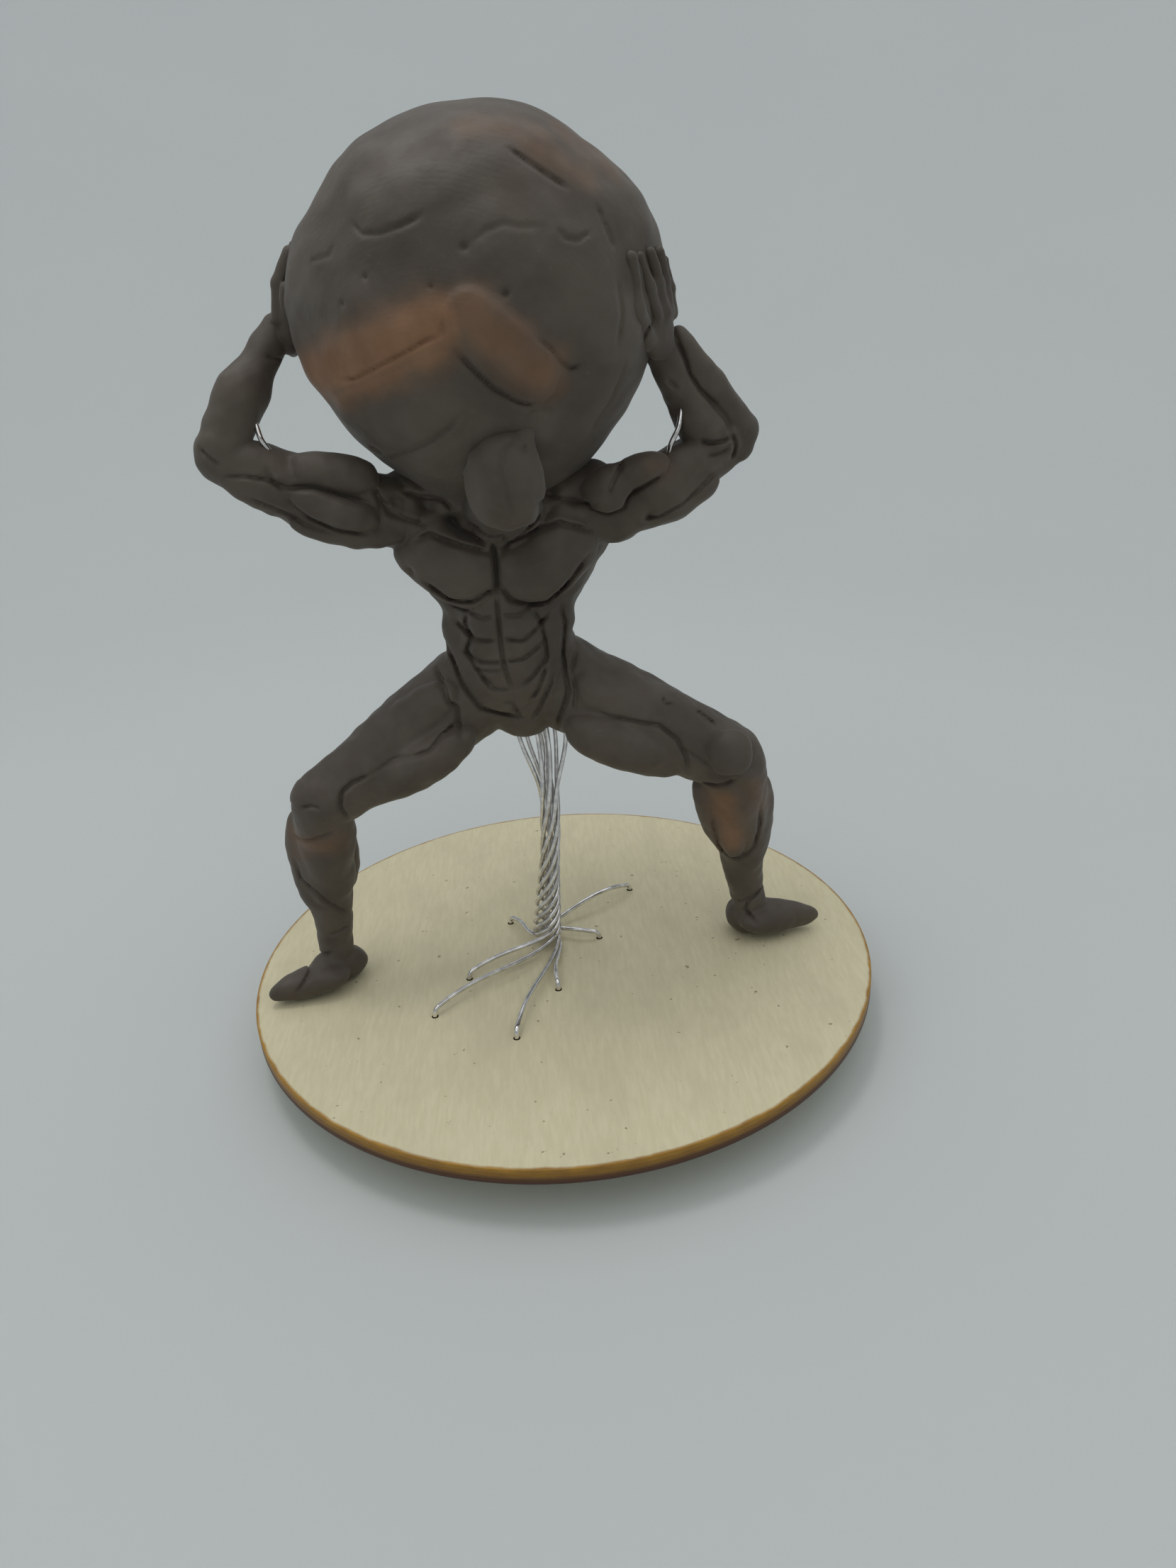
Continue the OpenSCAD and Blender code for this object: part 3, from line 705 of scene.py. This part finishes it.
# Creases pressed in from the front: (deepest, half width, furthest back, [(x, height), ...])
FRONT_CREASES = [
    # between and under the rows of the belly
    (0.75, 0.34, 1, [(-6.3, 74.4), (-6.4, 71.3), (-6.4, 67), (-6.1, 61), (-5, 56.8)]),
    (0.55, 0.34, 1, [(-14.5, 72.1), (-11.1, 71.4), (-9, 70.3), (-7, 70.7)]),
    (0.5, 0.34, 1, [(-5.9, 70.8), (-2.8, 70.4), (-0.8, 72), (2.6, 72.1)]),
    (0.8, 0.34, 1, [(-14, 69.1), (-10.9, 66.6), (-7.4, 66.4)]),
    (0.8, 0.34, 1, [(-5.9, 66.7), (-2.5, 65.9), (0.8, 68.3), (2.1, 69.4)]),
    (0.8, 0.34, 1, [(-13.3, 63.7), (-9.7, 62.5), (-6.2, 62.5)]),
    (0.7, 0.34, 1, [(-6, 62.5), (-2.7, 62.6), (1.1, 65.1)]),
    (0.5, 0.31, 1, [(-11.1, 61), (-6.4, 60.7)]),
    (0.6, 0.34, 1, [(-10.4, 60), (-8.7, 57.4), (-5.6, 57.1)]),
    (0.7, 0.37, 1, [(-11.5, 71.3), (-12.1, 69), (-11.2, 66.9), (-12.3, 64.2), (-11, 61.2), (-7.9, 57.2)]),
    (0.7, 0.37, 1, [(-0.8, 71.6), (0.6, 68.3), (1.1, 65.1), (1.3, 61.9), (-1.5, 59.2), (-4, 57.1)]),
    # flanks and groin
    (0.8, 0.34, 3, [(4.4, 70.4), (4.9, 67.1), (4.1, 61.4), (4.7, 55.5), (2.7, 50.1), (2.5, 46.4)]),
    (0.5, 0.31, 3, [(6.8, 61.7), (5.4, 58.5), (6, 55.5), (5.3, 51.7)]),
    (0.7, 0.34, 3, [(1, 60.4), (-0.6, 56.8), (-2, 54.5)]),
    (0.6, 0.34, 3, [(2.1, 58.2), (-0.3, 53.3), (-2, 50)]),
    (0.9, 0.37, 3, [(-16.6, 64.7), (-15.3, 61.7), (-13.8, 57.9), (-11.1, 53.4), (-7.6, 51.8), (-4.1, 50.6)]),
    (0.7, 0.34, 3, [(-18.7, 60), (-17, 57.8), (-16.5, 55.6), (-15.2, 54.2), (-15.3, 51.6), (-14.7, 49.9)]),
    (0.5, 0.31, 3, [(-7, 54.3), (-5.4, 54.6), (-4.8, 52.4), (-4.3, 50.7)]),
    (0.6, 0.34, 1, [(-23.3, 47.9), (-20.4, 48.5), (-18.1, 50.5), (-15.5, 51.4)]),
    # chest
    (1.1, 0.41, 2, [(-6.1, 83), (-6, 79), (-6.2, 74.6)]),
    (0.9, 0.41, 2, [(-18, 77.2), (-14.2, 73.9), (-10.5, 73.5), (-6.7, 75.4)]),
    (0.9, 0.41, 2, [(-5.5, 75.8), (-4, 73.2), (-0.8, 72.2), (2.1, 72.1), (5.3, 74.5), (9.6, 79.6)]),
    (0.8, 0.34, 2, [(-18.8, 84), (-16.2, 85), (-12.6, 83.4), (-9.5, 82.3), (-7, 81.3)]),
    (0.8, 0.34, 2, [(-5.2, 81), (-3.3, 82.9), (0.6, 84.2), (5.1, 85.2), (10.2, 83.2)]),
    # torn edges round the neck
    (0.8, 0.4, 4, [(-23.6, 91), (-22.4, 88.8), (-19.5, 87.2), (-17, 86.4)]),
    (0.7, 0.34, 4, [(-20, 91.6), (-17, 90.4), (-13.6, 90), (-12, 88)]),
    (0.9, 0.38, 3, [(-13.2, 87.2), (-11.4, 84.6), (-9.4, 83.8), (-7.2, 82.8)]),
    (0.6, 0.34, 3, [(-9.4, 86), (-6.4, 84.4), (-4.2, 84.8), (-3.6, 82.8)]),
    (0.7, 0.34, 4, [(1.4, 91.6), (3.6, 89.4), (7.2, 88.2), (11.4, 87.6)]),
    (0.6, 0.34, 3, [(-2.6, 83.4), (-0.6, 84.8), (2.4, 87.2)]),
    # arms
    (0.6, 0.31, -1, [(-49.9, 101.1), (-48.7, 99.6), (-47.3, 98.3)]),
    (0.6, 0.31, 0, [(-47.1, 96.6), (-43.9, 96.4), (-40.8, 95.7), (-38, 93.5)]),
    (0.5, 0.31, 2, [(-44.6, 93.4), (-40.4, 91.2), (-36.2, 88.2), (-31, 86.2)]),
    (0.45, 0.27, 4, [(-38.6, 113.3), (-36.8, 112.6)]),
    (0.8, 0.34, 2, [(25.6, 112.7), (26.7, 109.9), (27.8, 106.5), (29.4, 104), (31.7, 101.6), (33.8, 99.2),
                    (34.8, 96.6)]),
    (0.6, 0.31, 3, [(29.2, 96.2), (31, 95.7), (33, 95.7), (34.6, 96.2)]),
    (0.5, 0.31, 3, [(30.2, 93.7), (32.2, 93.8), (34.2, 94.6)]),
    (0.7, 0.34, 3, [(34.8, 96.6), (35.4, 94.5), (34.9, 92.6)]),
    (0.7, 0.34, 0, [(-40.4, 97.3), (-39.9, 95.4), (-37.7, 94.1), (-33.5, 93.9), (-28.1, 91.5),
                    (-25.5, 90.6)]),
    (0.5, 0.31, 0, [(-38, 92.3), (-35, 89.3), (-31, 87.1), (-26.4, 86)]),
    (0.6, 0.31, 0, [(-24.4, 92.6), (-23.6, 90.4), (-24.2, 88.2)]),
    (0.5, 0.31, 0, [(9.8, 88.4), (10.6, 86.9), (13.3, 85.8), (16, 86.4), (16.7, 88.4), (20, 90.2),
                    (22.8, 91.7)]),
    (0.7, 0.31, 5, [(19.4, 83.9), (22.4, 84.6), (26.1, 86.3), (28.8, 88.2), (31.6, 90.4)]),
    (0.5, 0.31, 0, [(16.1, 94), (14.2, 91.4), (13.2, 89.3)]),
    (0.6, 0.31, 2, [(20.9, 114.4), (19.9, 113.2), (18.9, 111.8)]),
    (0.5, 0.31, 3, [(24.2, 105.8), (25.6, 104.6)]),
    # right leg
    (0.5, 0.27, -10, [(-43.2, 41.2), (-41.5, 41.7), (-39.9, 41.2)]),
    (0.7, 0.34, -3, [(-35.8, 38), (-36.6, 41), (-36, 43.4), (-34.2, 44.6), (-31, 45.6)]),
    (0.3, 0.34, -3, [(-31, 45.6), (-26.5, 47.6), (-23.3, 47.9)]),
    (0.5, 0.34, -3, [(-46.4, 33.6), (-43.4, 34.6), (-38.4, 36)]),
    (0.6, 0.34, -1, [(-47.2, 28.9), (-46.8, 24.9), (-43.8, 22.4), (-41.8, 18.9), (-39.7, 15.1)]),
    (0.5, 0.31, 0, [(-43.6, 11.8), (-40.4, 12.9)]),
    (0.6, 0.31, 0, [(-50.7, 3.1), (-48.3, 5.4), (-44, 7.7)]),
    # left leg
    (0.7, 0.34, -3, [(10, 51.8), (16.8, 50.2), (19.9, 49.8), (22.9, 47.4), (24.3, 44.4), (24.8, 40.6)]),
    (0.5, 0.31, -3, [(23.8, 45.7), (28.2, 42.9)]),
    (0.5, 0.31, -3, [(26.8, 51), (29.8, 48.9)]),
    (0.4, 0.27, -3, [(20.9, 53.8), (21.4, 52.7), (22.9, 52.6)]),
    (0.8, 0.34, -3, [(27.2, 38.2), (29.6, 38.4), (32.5, 40.2)]),
    (0.6, 0.34, -1, [(28.5, 33), (30.5, 24.5), (32.2, 21.4), (34.6, 20.7), (37.1, 23.4), (37.9, 28.4),
                     (37.6, 33)]),
    (0.7, 0.31, 2, [(40.6, 11), (36.9, 8.7), (36.5, 6.7), (38.2, 4.8)]),
    (0.6, 0.31, 2, [(39.6, 10.7), (35.2, 8.4), (34.3, 6.5)]),
    # head
    (0.28, 0.34, -14, [(-1, 101), (-2.7, 99.5), (-3.5, 96.5), (-2.7, 93.1), (-1.9, 89)]),
]

BACK_CREASES = [
    (0.8, 0.48, 6, [(-4, 88), (-4.5, 78), (-4.3, 66), (-4.2, 58)]),
    (1, 0.41, 8, [(-4.2, 57), (-4, 50), (-3.6, 45)]),
    (0.7, 0.41, 8, [(-17.5, 49.5), (-12, 46.8), (-5.5, 47.6)]),
    (0.7, 0.41, 8, [(9, 49.8), (4, 47.2), (-2.4, 47.6)]),
    (0.6, 0.34, 6, [(-19, 86), (-14, 78.5), (-8.5, 78)]),
    (0.6, 0.34, 6, [(11, 86), (5.5, 78.5), (0, 78)]),
    (0.5, 0.34, 4, [(-14, 70), (-9, 66), (-6, 60)]),
    (0.5, 0.34, 4, [(5, 70), (0, 66), (-2.5, 60)]),
    (0.6, 0.34, 3, [(-45, 20), (-41.5, 16.5), (-38, 21)]),
    (0.6, 0.34, 3, [(32, 21), (35.5, 17.5), (39, 22)]),
]

# Pits and flat finger presses from the front: (deepest, radius, furthest back, x, height)
FIGURE_DENTS = [
    (1.8, 1.4, 4, -21.2, 89.8),
    (1.5, 1.6, 4, -16.4, 89.2),
    (1.3, 1.1, 3, -12.4, 86.4),
    (1.4, 1.5, 4, 3.6, 89.8),
    (1, 1.2, 4, 7.8, 88.2),
    (1.3, 0.7, 5, 20.4, 84.6),
    (0.8, 0.6, -3, -20.2, 79),
    (0.7, 0.5, -14, 0.3, 99.2),
    (0.7, 2.2, -3, -43, 31),
    (0.6, 2.5, -3, 20.5, 42),
    (0.6, 2.6, -3, -29, 41.5),
    (0.7, 1.6, 2, -1, 86),
    (0.8, 1.5, 2, -9, 85.5),
    (0.6, 1.6, 3, 26, 101.5),
    (0.5, 2, 2, -44.5, 103.5),
    (0.5, 1.4, -3, 33.5, 38.5),
]

# Where the warmer clay shows: (strength, half width, furthest back, start, end) in the front view
FIGURE_TAN = [
    (0.5, 1.5, -3, (-45.4, 33.8), (-39.6, 33.2)),
    (0.3, 0.8, -3, (-46.5, 30.5), (-45, 33)),
    (0.75, 1.8, -3, (30.6, 35.5), (32.6, 25.5)),
    (0.35, 1.6, -3, (36.5, 38), (38.5, 33)),
    (0.25, 1.2, 2, (21, 93.2), (23, 92.6)),
]

BALL_AT = (-5, 7, 118)
BALL_R = 28.7

# The ball's lists are the figure's without the third value, which is always the ball's middle.
# Slabs of clay laid on it: (height, half width, edge, start, end)
BALL_SLABS = [
    (0.95, 3.7, 0.3, (-5.6, 117.6), (2.8, 109.8)),
    (0.35, 2.7, 0.6, (-31, 110.6), (-11.2, 117.2)),
    (0.55, 1.5, 0.35, (-27, 108), (-9.6, 113.8)),
    (0.45, 5, 0.4, (-24, 103), (-12, 107)),
    (0.35, 4.5, 0.5, (9, 124), (15, 112)),
    (0.5, 6, 0.6, (-16, 136), (2, 140)),
    (0.4, 4, 0.5, (-14, 95), (-7, 97)),
]

BALL_CREASES = [
    (0.7, 0.34, [(-21, 130.4), (-19.6, 128.8), (-17, 128.7), (-14, 129.3), (-11, 130.4)]),
    (0.5, 0.31, [(7.4, 127.8), (8.2, 126.6), (10, 126.2), (11.9, 127.2)]),
    (0.3, 0.41, [(-4.4, 126.8), (-2.5, 128), (0, 128.8), (2, 128.3), (5, 128.2)]),
    (0.7, 0.31, [(1.5, 138.1), (4.2, 136.1), (9.2, 132.9)]),
    (0.8, 0.27, [(-26.4, 109.9), (-23.4, 110.2), (-20, 111.6), (-15.5, 113.4), (-12, 115), (-9.6, 115.6)]),
    (0.6, 0.31, [(-9.7, 115.6), (-9.3, 117.4)]),
    (1.3, 0.34, [(-8.1, 113.4), (-5.6, 110.4), (-3.2, 107.9), (0, 105.9), (3.2, 105)]),
    (0.5, 0.27, [(3.4, 105), (5.4, 106.6), (6.4, 109.4)]),
    (1, 0.31, [(3.1, 114.4), (5, 112.8), (6.3, 110.9), (7.8, 109.8), (9.7, 110.2)]),
    (0.8, 0.31, [(-21.6, 97.6), (-17, 99.4), (-13.2, 101), (-10.4, 102.8), (-8.3, 104.6)]),
    (0.7, 0.34, [(-23.6, 99.5), (-22.2, 98.4)]),
    (0.6, 0.27, [(1, 104.2), (3, 104.6), (5, 103.9)]),
    (0.6, 0.34, [(13.4, 130.5), (14.6, 127.2), (15.4, 125)]),
    (0.6, 0.34, [(15.6, 121), (16, 116.5), (15.2, 112.2)]),
    (0.6, 0.34, [(10.5, 99.5), (14.2, 104.6), (16.6, 110)]),
    (0.35, 0.34, [(-28.2, 126), (-25, 126.5), (-24.2, 127.8)]),
]

BALL_BACK_CREASES = [
    (0.8, 0.34, [(-26, 122), (-18, 126), (-8, 125), (0, 128)]),
    (0.7, 0.34, [(-14, 110), (-6, 106), (4, 107), (12, 112)]),
    (0.6, 0.34, [(-20, 104), (-15, 99), (-8, 97)]),
    (0.6, 0.34, [(2, 138), (8, 133), (16, 130)]),
    (0.7, 0.34, [(8, 120), (12, 117), (18, 118)]),
]

BALL_DENTS = [
    (0.9, 0.5, -0.6, 120.2),
    (0.7, 0.4, -10.6, 121.8),
    (0.7, 0.5, -5.6, 126.2),
    (0.5, 0.35, -19.8, 123.4),
    (0.45, 0.35, -23.6, 120.2),
    (0.9, 4.5, -17, 123),
    (0.7, 5, 7, 120),
    (0.6, 4, -24, 132),
    (0.6, 4.5, -3, 133),
    (0.7, 3.5, -10, 108),
    (0.6, 3.6, 6, 103),
]

BALL_TAN = [
    (1, 3.9, (-31, 110.2), (-10.5, 116.8)),
    (0.9, 1.6, (-27, 107.6), (-10, 113.4)),
    (0.62, 3.3, (-5.6, 118), (3.6, 109.6)),
    (0.55, 1.6, (0, 110.4), (4.2, 107.6)),
    (0.32, 1.2, (-4, 141.5), (6, 140)),
    (0.35, 1.3, (4, 139), (12, 134.5)),
    (0.3, 1.2, (9, 141.5), (17, 135.5)),
]


def on_ball(rows):
    """Puts the ball's middle into rows of its lists."""
    return [(*row[:2], BALL_AT[1], *row[2:]) for row in rows]


def mark(clay, creases, dents, back_creases, gain):
    """Presses dents into the clay, and creases that are gain times as deep as listed."""
    for depth, radius, limit, at_x, at_z in dents:
        clay.press(lambda x, y, z: depth * (y < limit)
                   * np.exp(-((x - at_x) ** 2 + (z - at_z) ** 2) / radius ** 2))
    for depth, width, limit, line in creases:
        clay.press(lambda x, y, z: crease_depth(x, z, line, gain * depth, width) * (y < limit))
    for depth, width, limit, line in back_creases:
        clay.press(lambda x, y, z: crease_depth(x, z, line, gain * depth, width) * (y > limit))


def add_warmth(made, patches, seed):
    """Stores how warm the clay is at each vertex."""
    count = len(made.data.vertices)
    flat = np.empty(count * 3, np.float32)
    made.data.vertices.foreach_get("co", flat)
    x, y, z = (flat.reshape(-1, 3) / MM - (0, 0, DECK_TOP)).T
    smear = ripple(x, y, z, 6.0, seed) * 0.6 + ripple(x, y, z, 2.2, seed + 1) * 0.12
    warm = np.zeros(count)
    for strength, half, limit, start, end in patches:
        patch = soft_patch(x, z, start, end, half + smear, 0.8)
        warm = np.maximum(warm, strength * patch * (y < limit))
    attribute = made.data.attributes.new("warm", "FLOAT", "POINT")
    attribute.data.foreach_set("value", warm.astype(np.float32))


def make_figure(material):
    clay = Clay(FIGURE, (-60, -20, -1.5), (56, 20, 134))
    clay.groove_seams()
    clay.press(lambda x, y, z: 0.22 * ripple(x, y, z, 8.0, 3) + 0.10 * ripple(x, y, z, 3.2, 4))
    mark(clay, FRONT_CREASES, FIGURE_DENTS, BACK_CREASES, 1.35)
    clay.press(lambda x, y, z: np.where(z < SOLE, 0.5 * (SOLE - z) + 0.3, 0))
    for number, lump in enumerate(FIGURE):
        points, faces = clay.cut(number)
        made = new_piece(lump.node + "_clay", points, faces, material, "turntable", [lump.node])
        add_warmth(made, FIGURE_TAN, 20)


def make_clay_ball(material):
    ball = Lump("clay_ball", [
        Pad(BALL_AT, UP, FRONT, BALL_R, BALL_R, BALL_R),
        Pad((-4, 4, 104), (1, 0, 0), (0, -0.3, -1), 15, 12, 15.0),
        Pad((8, 5, 124), UP, (1, -0.2, 0.1), 13, 13, 15.4),
        Pad((-20.5, 5, 120.5), UP, (-1, -0.1, 0.1), 12, 12, 13.5),
    ], 6.0)
    low, high = np.array(BALL_AT) - BALL_R - 4, np.array(BALL_AT) + BALL_R + 4
    clay = Clay([ball], low, high)
    clay.press(lambda x, y, z: 0.38 * ripple(x, y, z, 19.0, 7) + 0.14 * ripple(x, y, z, 6.0, 8))
    for height, half, edge, start, end in BALL_SLABS:
        clay.press(lambda x, y, z: -height * (y < BALL_AT[1]) * soft_patch(x, z, start, end, half, edge))
    mark(clay, on_ball(BALL_CREASES), on_ball(BALL_DENTS), on_ball(BALL_BACK_CREASES), 0.75)
    points, faces = polygons(clay.skin, clay.start)
    made = new_piece("clay_ball_skin", points, faces, material, "turntable", ["clay_ball"])
    add_warmth(made, on_ball(BALL_TAN), 40)


# ---------- armature: through the frame's deck holes, on a post drawn more freely than the frame's ----------

# Where each leg goes down through the deck, and which way its tail is folded under it
LEG_HOLES = [(15.5, 20.5), (-10.5, 11), (-18.5, -8), (-24.5, -19), (-9.5, -27.5), (-1.5, -14), (7.5, 2.5)]
TAIL_SIDES = [-1, 1, 1, -1, -1, 1, 1]
LEG_HOLE_R = 0.65
WIRE_R = 0.45
HUB = np.array((-3.2, 2.6))
POST_HEAD = np.array((-1.2, 7.5, 49))
POST_FOOT_Z = 1.1
POST_BOW = 1.7
POST_FOOT_R, POST_HEAD_R = 2.5, 1.6
POST_WAIST = 0.4  # the post has drawn in to its head's radius at this part of its height
TWIST_TURNS, TWIST_BIAS = 1.5, 2.8
PHASE_LEAD = 15
TOP_SPLAY, SPLAY_FROM, SPLAY_OVER = 3.2, 0.62, 0.3
BEND_R, HOOK_R = 0.8, 1.4
BROW_Z = 1.7
LEG_FLATTEN = (1, 1, 0.25)
LEG_ARCH = [4.2, 0.8, 1.4, 1.6, 1.6, 0.8, 1.0]
TAIL = 8
CORE_OFF, CORE_STEP = 0.52, 8  # distance of a core wire from the post's axis, height of its quarter turn


def ease(t):
    t = min(1, max(0, t))
    return t * t * (3 - 2 * t)


def post_axis(z):
    t = min(1, max(0, z / POST_HEAD[2]))
    bow = POST_BOW * math.sin(math.pi * t ** 1.3)
    return np.array((HUB[0] + (POST_HEAD[0] - HUB[0]) * t + bow, HUB[1] + (POST_HEAD[1] - HUB[1]) * t, z))


def heading(i):
    return math.degrees(math.atan2(LEG_HOLES[i][1] - HUB[1], LEG_HOLES[i][0] - HUB[0])) % 360


def foot_angle(i):
    return heading(0) + 90 - PHASE_LEAD + 360 * i / len(LEG_HOLES)


def strand_angle(i, u):
    return foot_angle(i) + 360 * TWIST_TURNS * (1 - (1 - u) ** TWIST_BIAS)


def leave_u(i):
    return 1 - (1 - (heading(i) + 90 - foot_angle(i)) / (360 * TWIST_TURNS)) ** (1 / TWIST_BIAS)


def strand_point(i, u):
    a = math.radians(strand_angle(i, u))
    r = POST_FOOT_R + (POST_HEAD_R - POST_FOOT_R) * ease(u / POST_WAIST)
    spread = TOP_SPLAY * math.cos(math.radians(strand_angle(i, 1))) ** 3 * ease((u - SPLAY_FROM) / SPLAY_OVER)
    middle = post_axis(POST_FOOT_Z + (POST_HEAD[2] - POST_FOOT_Z) * u)
    return middle + (r * math.cos(a) + spread, r * math.sin(a), 0)


def leg_route(i):
    """The leg of strand i from the post to its hole, through the deck and folded under it."""
    a = math.radians(heading(i))
    out = np.array((math.cos(a), math.sin(a), 0))
    down = np.array((0, 0, -1))
    start = strand_point(i, leave_u(i))
    first = unit((start - strand_point(i, leave_u(i) + 0.01)) * LEG_FLATTEN)
    hole = np.array((*LEG_HOLES[i], 0))
    brow = hole + (0, 0, BROW_Z) - out * HOOK_R
    span = np.linalg.norm(brow - start)
    one, two = start + first * span * 0.35, brow - out * span * 0.4 + (0, 0, LEG_ARCH[i])
    under = -DECK_THICK - WIRE_R - 0.05
    fold = out * TAIL_SIDES[i]
    route = [start * (1 - t) ** 3 + one * 3 * t * (1 - t) ** 2 + two * 3 * t * t * (1 - t) + brow * t ** 3
             for t in np.linspace(0.04, 0.96, 26)]
    turn = np.radians(np.arange(0, 91, 15))
    route += [brow + HOOK_R * (out * math.sin(q) + down * (1 - math.cos(q))) for q in turn]
    knee = hole + (0, 0, under + BEND_R)
    route += [knee + BEND_R * (fold * (1 - math.cos(q)) + down * math.sin(q)) for q in turn]
    return route + [hole + (0, 0, under) + fold * TAIL]


def lifted(path):
    return np.asarray(path) + (0, 0, DECK_TOP)


def make_armature(material):
    for i in range(len(LEG_HOLES)):
        post = [strand_point(i, leave_u(i) + (1 - leave_u(i)) * (k / 120) ** 1.5) for k in range(120, -1, -1)]
        points, faces = tube(lifted(post + leg_route(i)))
        name = f"strand_{i + 1}"
        new_piece(name + "_wire", points, faces, material, "turntable", [name])
    cores = []
    for s, top in enumerate([(-7, 5, 92), (-3, -8, 94)]):
        turns = []
        for z in range(3, 50, CORE_STEP):
            a = math.radians(90 * z / CORE_STEP + 180 * s)
            turns.append(post_axis(z) + CORE_OFF * np.array((math.cos(a), math.sin(a), 0)))
        spine = [(-4.2 + 1.4 * s, 5.5, 57), (-5.8 + 1.4 * s, 4.5, 70), (-6 + 2 * s, 3.5, 82), top]
        cores.append(tube(lifted(through(turns + spine, 8))))
    points = np.concatenate([cores[0][0], cores[1][0]])
    faces = cores[0][1] + [tuple(v + len(cores[0][0]) for v in face) for face in cores[1][1]]
    new_piece("core_wires_wire", points, faces, material, "turntable", ["core_wires"])
    routes = {
        "arm_wire": [(-35.5, 9, 126), (-36.5, 6.5, 117.5), (-42.5, 1, 108), (-41.4, -2.2, 103.2),
                     (-40.2, -2.8, 100.0), (-36, 1, 93), (-23.5, 2, 89), (-5, 5, 86.5), (13, 4, 87.5),
                     (22.6, 2.0, 91.5), (24.5, -0.2, 96.2), (26.0, 0.4, 99.2), (26.4, 3.0, 104),
                     (23, 2, 111.5), (22, 0, 118)],
        "leg_wire": [(-44, -2.5, 9), (-39.5, -8, 41), (-14, 5.5, 53.5), (-4.5, 9.6, 55), (5, 5.5, 54),
                     (32.5, -7.5, 42), (37.2, 0.8, 9.5)],
    }
    for name, stops in routes.items():
        points, faces = tube(lifted(through(stops, 8)))
        new_piece(name + "_wire", points, faces, material, "turntable", [name])


# ---------- deck and bearing ----------

SCREW_CIRCLE_R, SCREW_HOLE_R, SCREW_DEPTH = 37, 0.9, 2.5


def make_deck():
    """The plywood disc with softened rims, slightly sunk glue lines and the holes for wires and screws."""
    low, high, rim = DECK_TOP - DECK_THICK, DECK_TOP, DECK_R
    softened = [(0.25, 0), (0.07, 0.06), (0, 0.22)]
    glue_in, glue_half = 0.07, 0.12
    profile = [(rim - inward, low + up) for inward, up in softened]
    for third in (1 / 3, 2 / 3):
        z = low + DECK_THICK * third
        profile += [(rim, z - glue_half), (rim - glue_in, z), (rim, z + glue_half)]
    profile += [(rim - inward, high - up) for inward, up in reversed(softened)]
    points, faces = lathe(profile, 360)
    deck = new_piece("deck_board", points, faces, plywood_material(), "turntable", ["deck"], False)
    cutters, cutter_faces = [], []
    bores = [(x, y, LEG_HOLE_R, low - 1, high + 1) for x, y in LEG_HOLES]
    for a in (0, math.pi / 2, math.pi, 3 * math.pi / 2):
        x, y = SCREW_CIRCLE_R * math.cos(a), SCREW_CIRCLE_R * math.sin(a)
        bores.append((x, y, SCREW_HOLE_R, low - 1, low + SCREW_DEPTH))
    for x, y, r, bottom, top in bores:
        ring, ring_faces = lathe([(r, bottom), (r, top)], 32)
        cutter_faces += [tuple(v + len(cutters) for v in face) for face in ring_faces]
        cutters += [(px + x, py + y, pz) for px, py, pz in ring]
    mesh = bpy.data.meshes.new("bores")
    mesh.from_pydata((np.array(cutters) * MM).tolist(), [], cutter_faces)
    tool = bpy.data.objects.new("bores", mesh)
    bpy.context.collection.objects.link(tool)
    cut = deck.modifiers.new("bores", "BOOLEAN")
    cut.object = tool
    cut.solver = "EXACT"
    graph = bpy.context.evaluated_depsgraph_get()
    result = bpy.data.meshes.new_from_object(deck.evaluated_get(graph))
    deck.modifiers.clear()
    deck.data = result
    bpy.data.objects.remove(tool)
    result.polygons.foreach_set("use_smooth", [True] * len(result.polygons))
    result.set_sharp_from_angle(angle=math.radians(32))
    # The walls inside the holes get the nearly black painted shade.
    result.materials.append(hole_shade_material())
    for face in result.polygons:
        inside = face.center.xy.length < (DECK_R - 1) * MM
        face.material_index = 1 if inside and abs(face.normal.z) < 0.5 else 0


def dress(node, material):
    """Gives a CAD node that is carried over its looks."""
    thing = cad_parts[node]
    if not thing.material_slots:
        thing.data.materials.append(material)
    for slot in thing.material_slots:
        slot.material = material


def make_bearing():
    ring = turned_material("turned_aluminium", (0.62, 0.62, 0.63), (0.80, 0.80, 0.80), 0.26)
    steel = turned_material("bearing_steel", (0.50, 0.51, 0.53), (0.66, 0.67, 0.68), 0.10)
    screws = turned_material("screw_steel", (0.30, 0.30, 0.31), (0.48, 0.48, 0.49), 0.30)
    nylon = plain_material("white_nylon", (0.62, 0.60, 0.54), (0.74, 0.72, 0.66), 300.0, 0.45)
    rubber = plain_material("soft_rubber", (0.012, 0.012, 0.013), (0.030, 0.030, 0.031), 500.0, 0.7)
    foil = plain_material("crumpled_foil", (0.70, 0.70, 0.71), (0.86, 0.86, 0.87), 140.0, 0.25, Metallic=1.0)
    for node, material in (("fixed_ring", ring), ("turning_ring", ring), ("bearing_balls", steel),
                           ("filler_plug", steel), ("ring_screws", screws), ("ball_cage", nylon),
                           ("rubber_feet", rubber), ("foil_core", foil)):
        dress(node, material)


make_camera()
make_light()
make_floor()
make_deck()
make_bearing()
make_armature(wire_material())
clay_look = clay_material()
make_figure(clay_look)
make_clay_ball(clay_look)
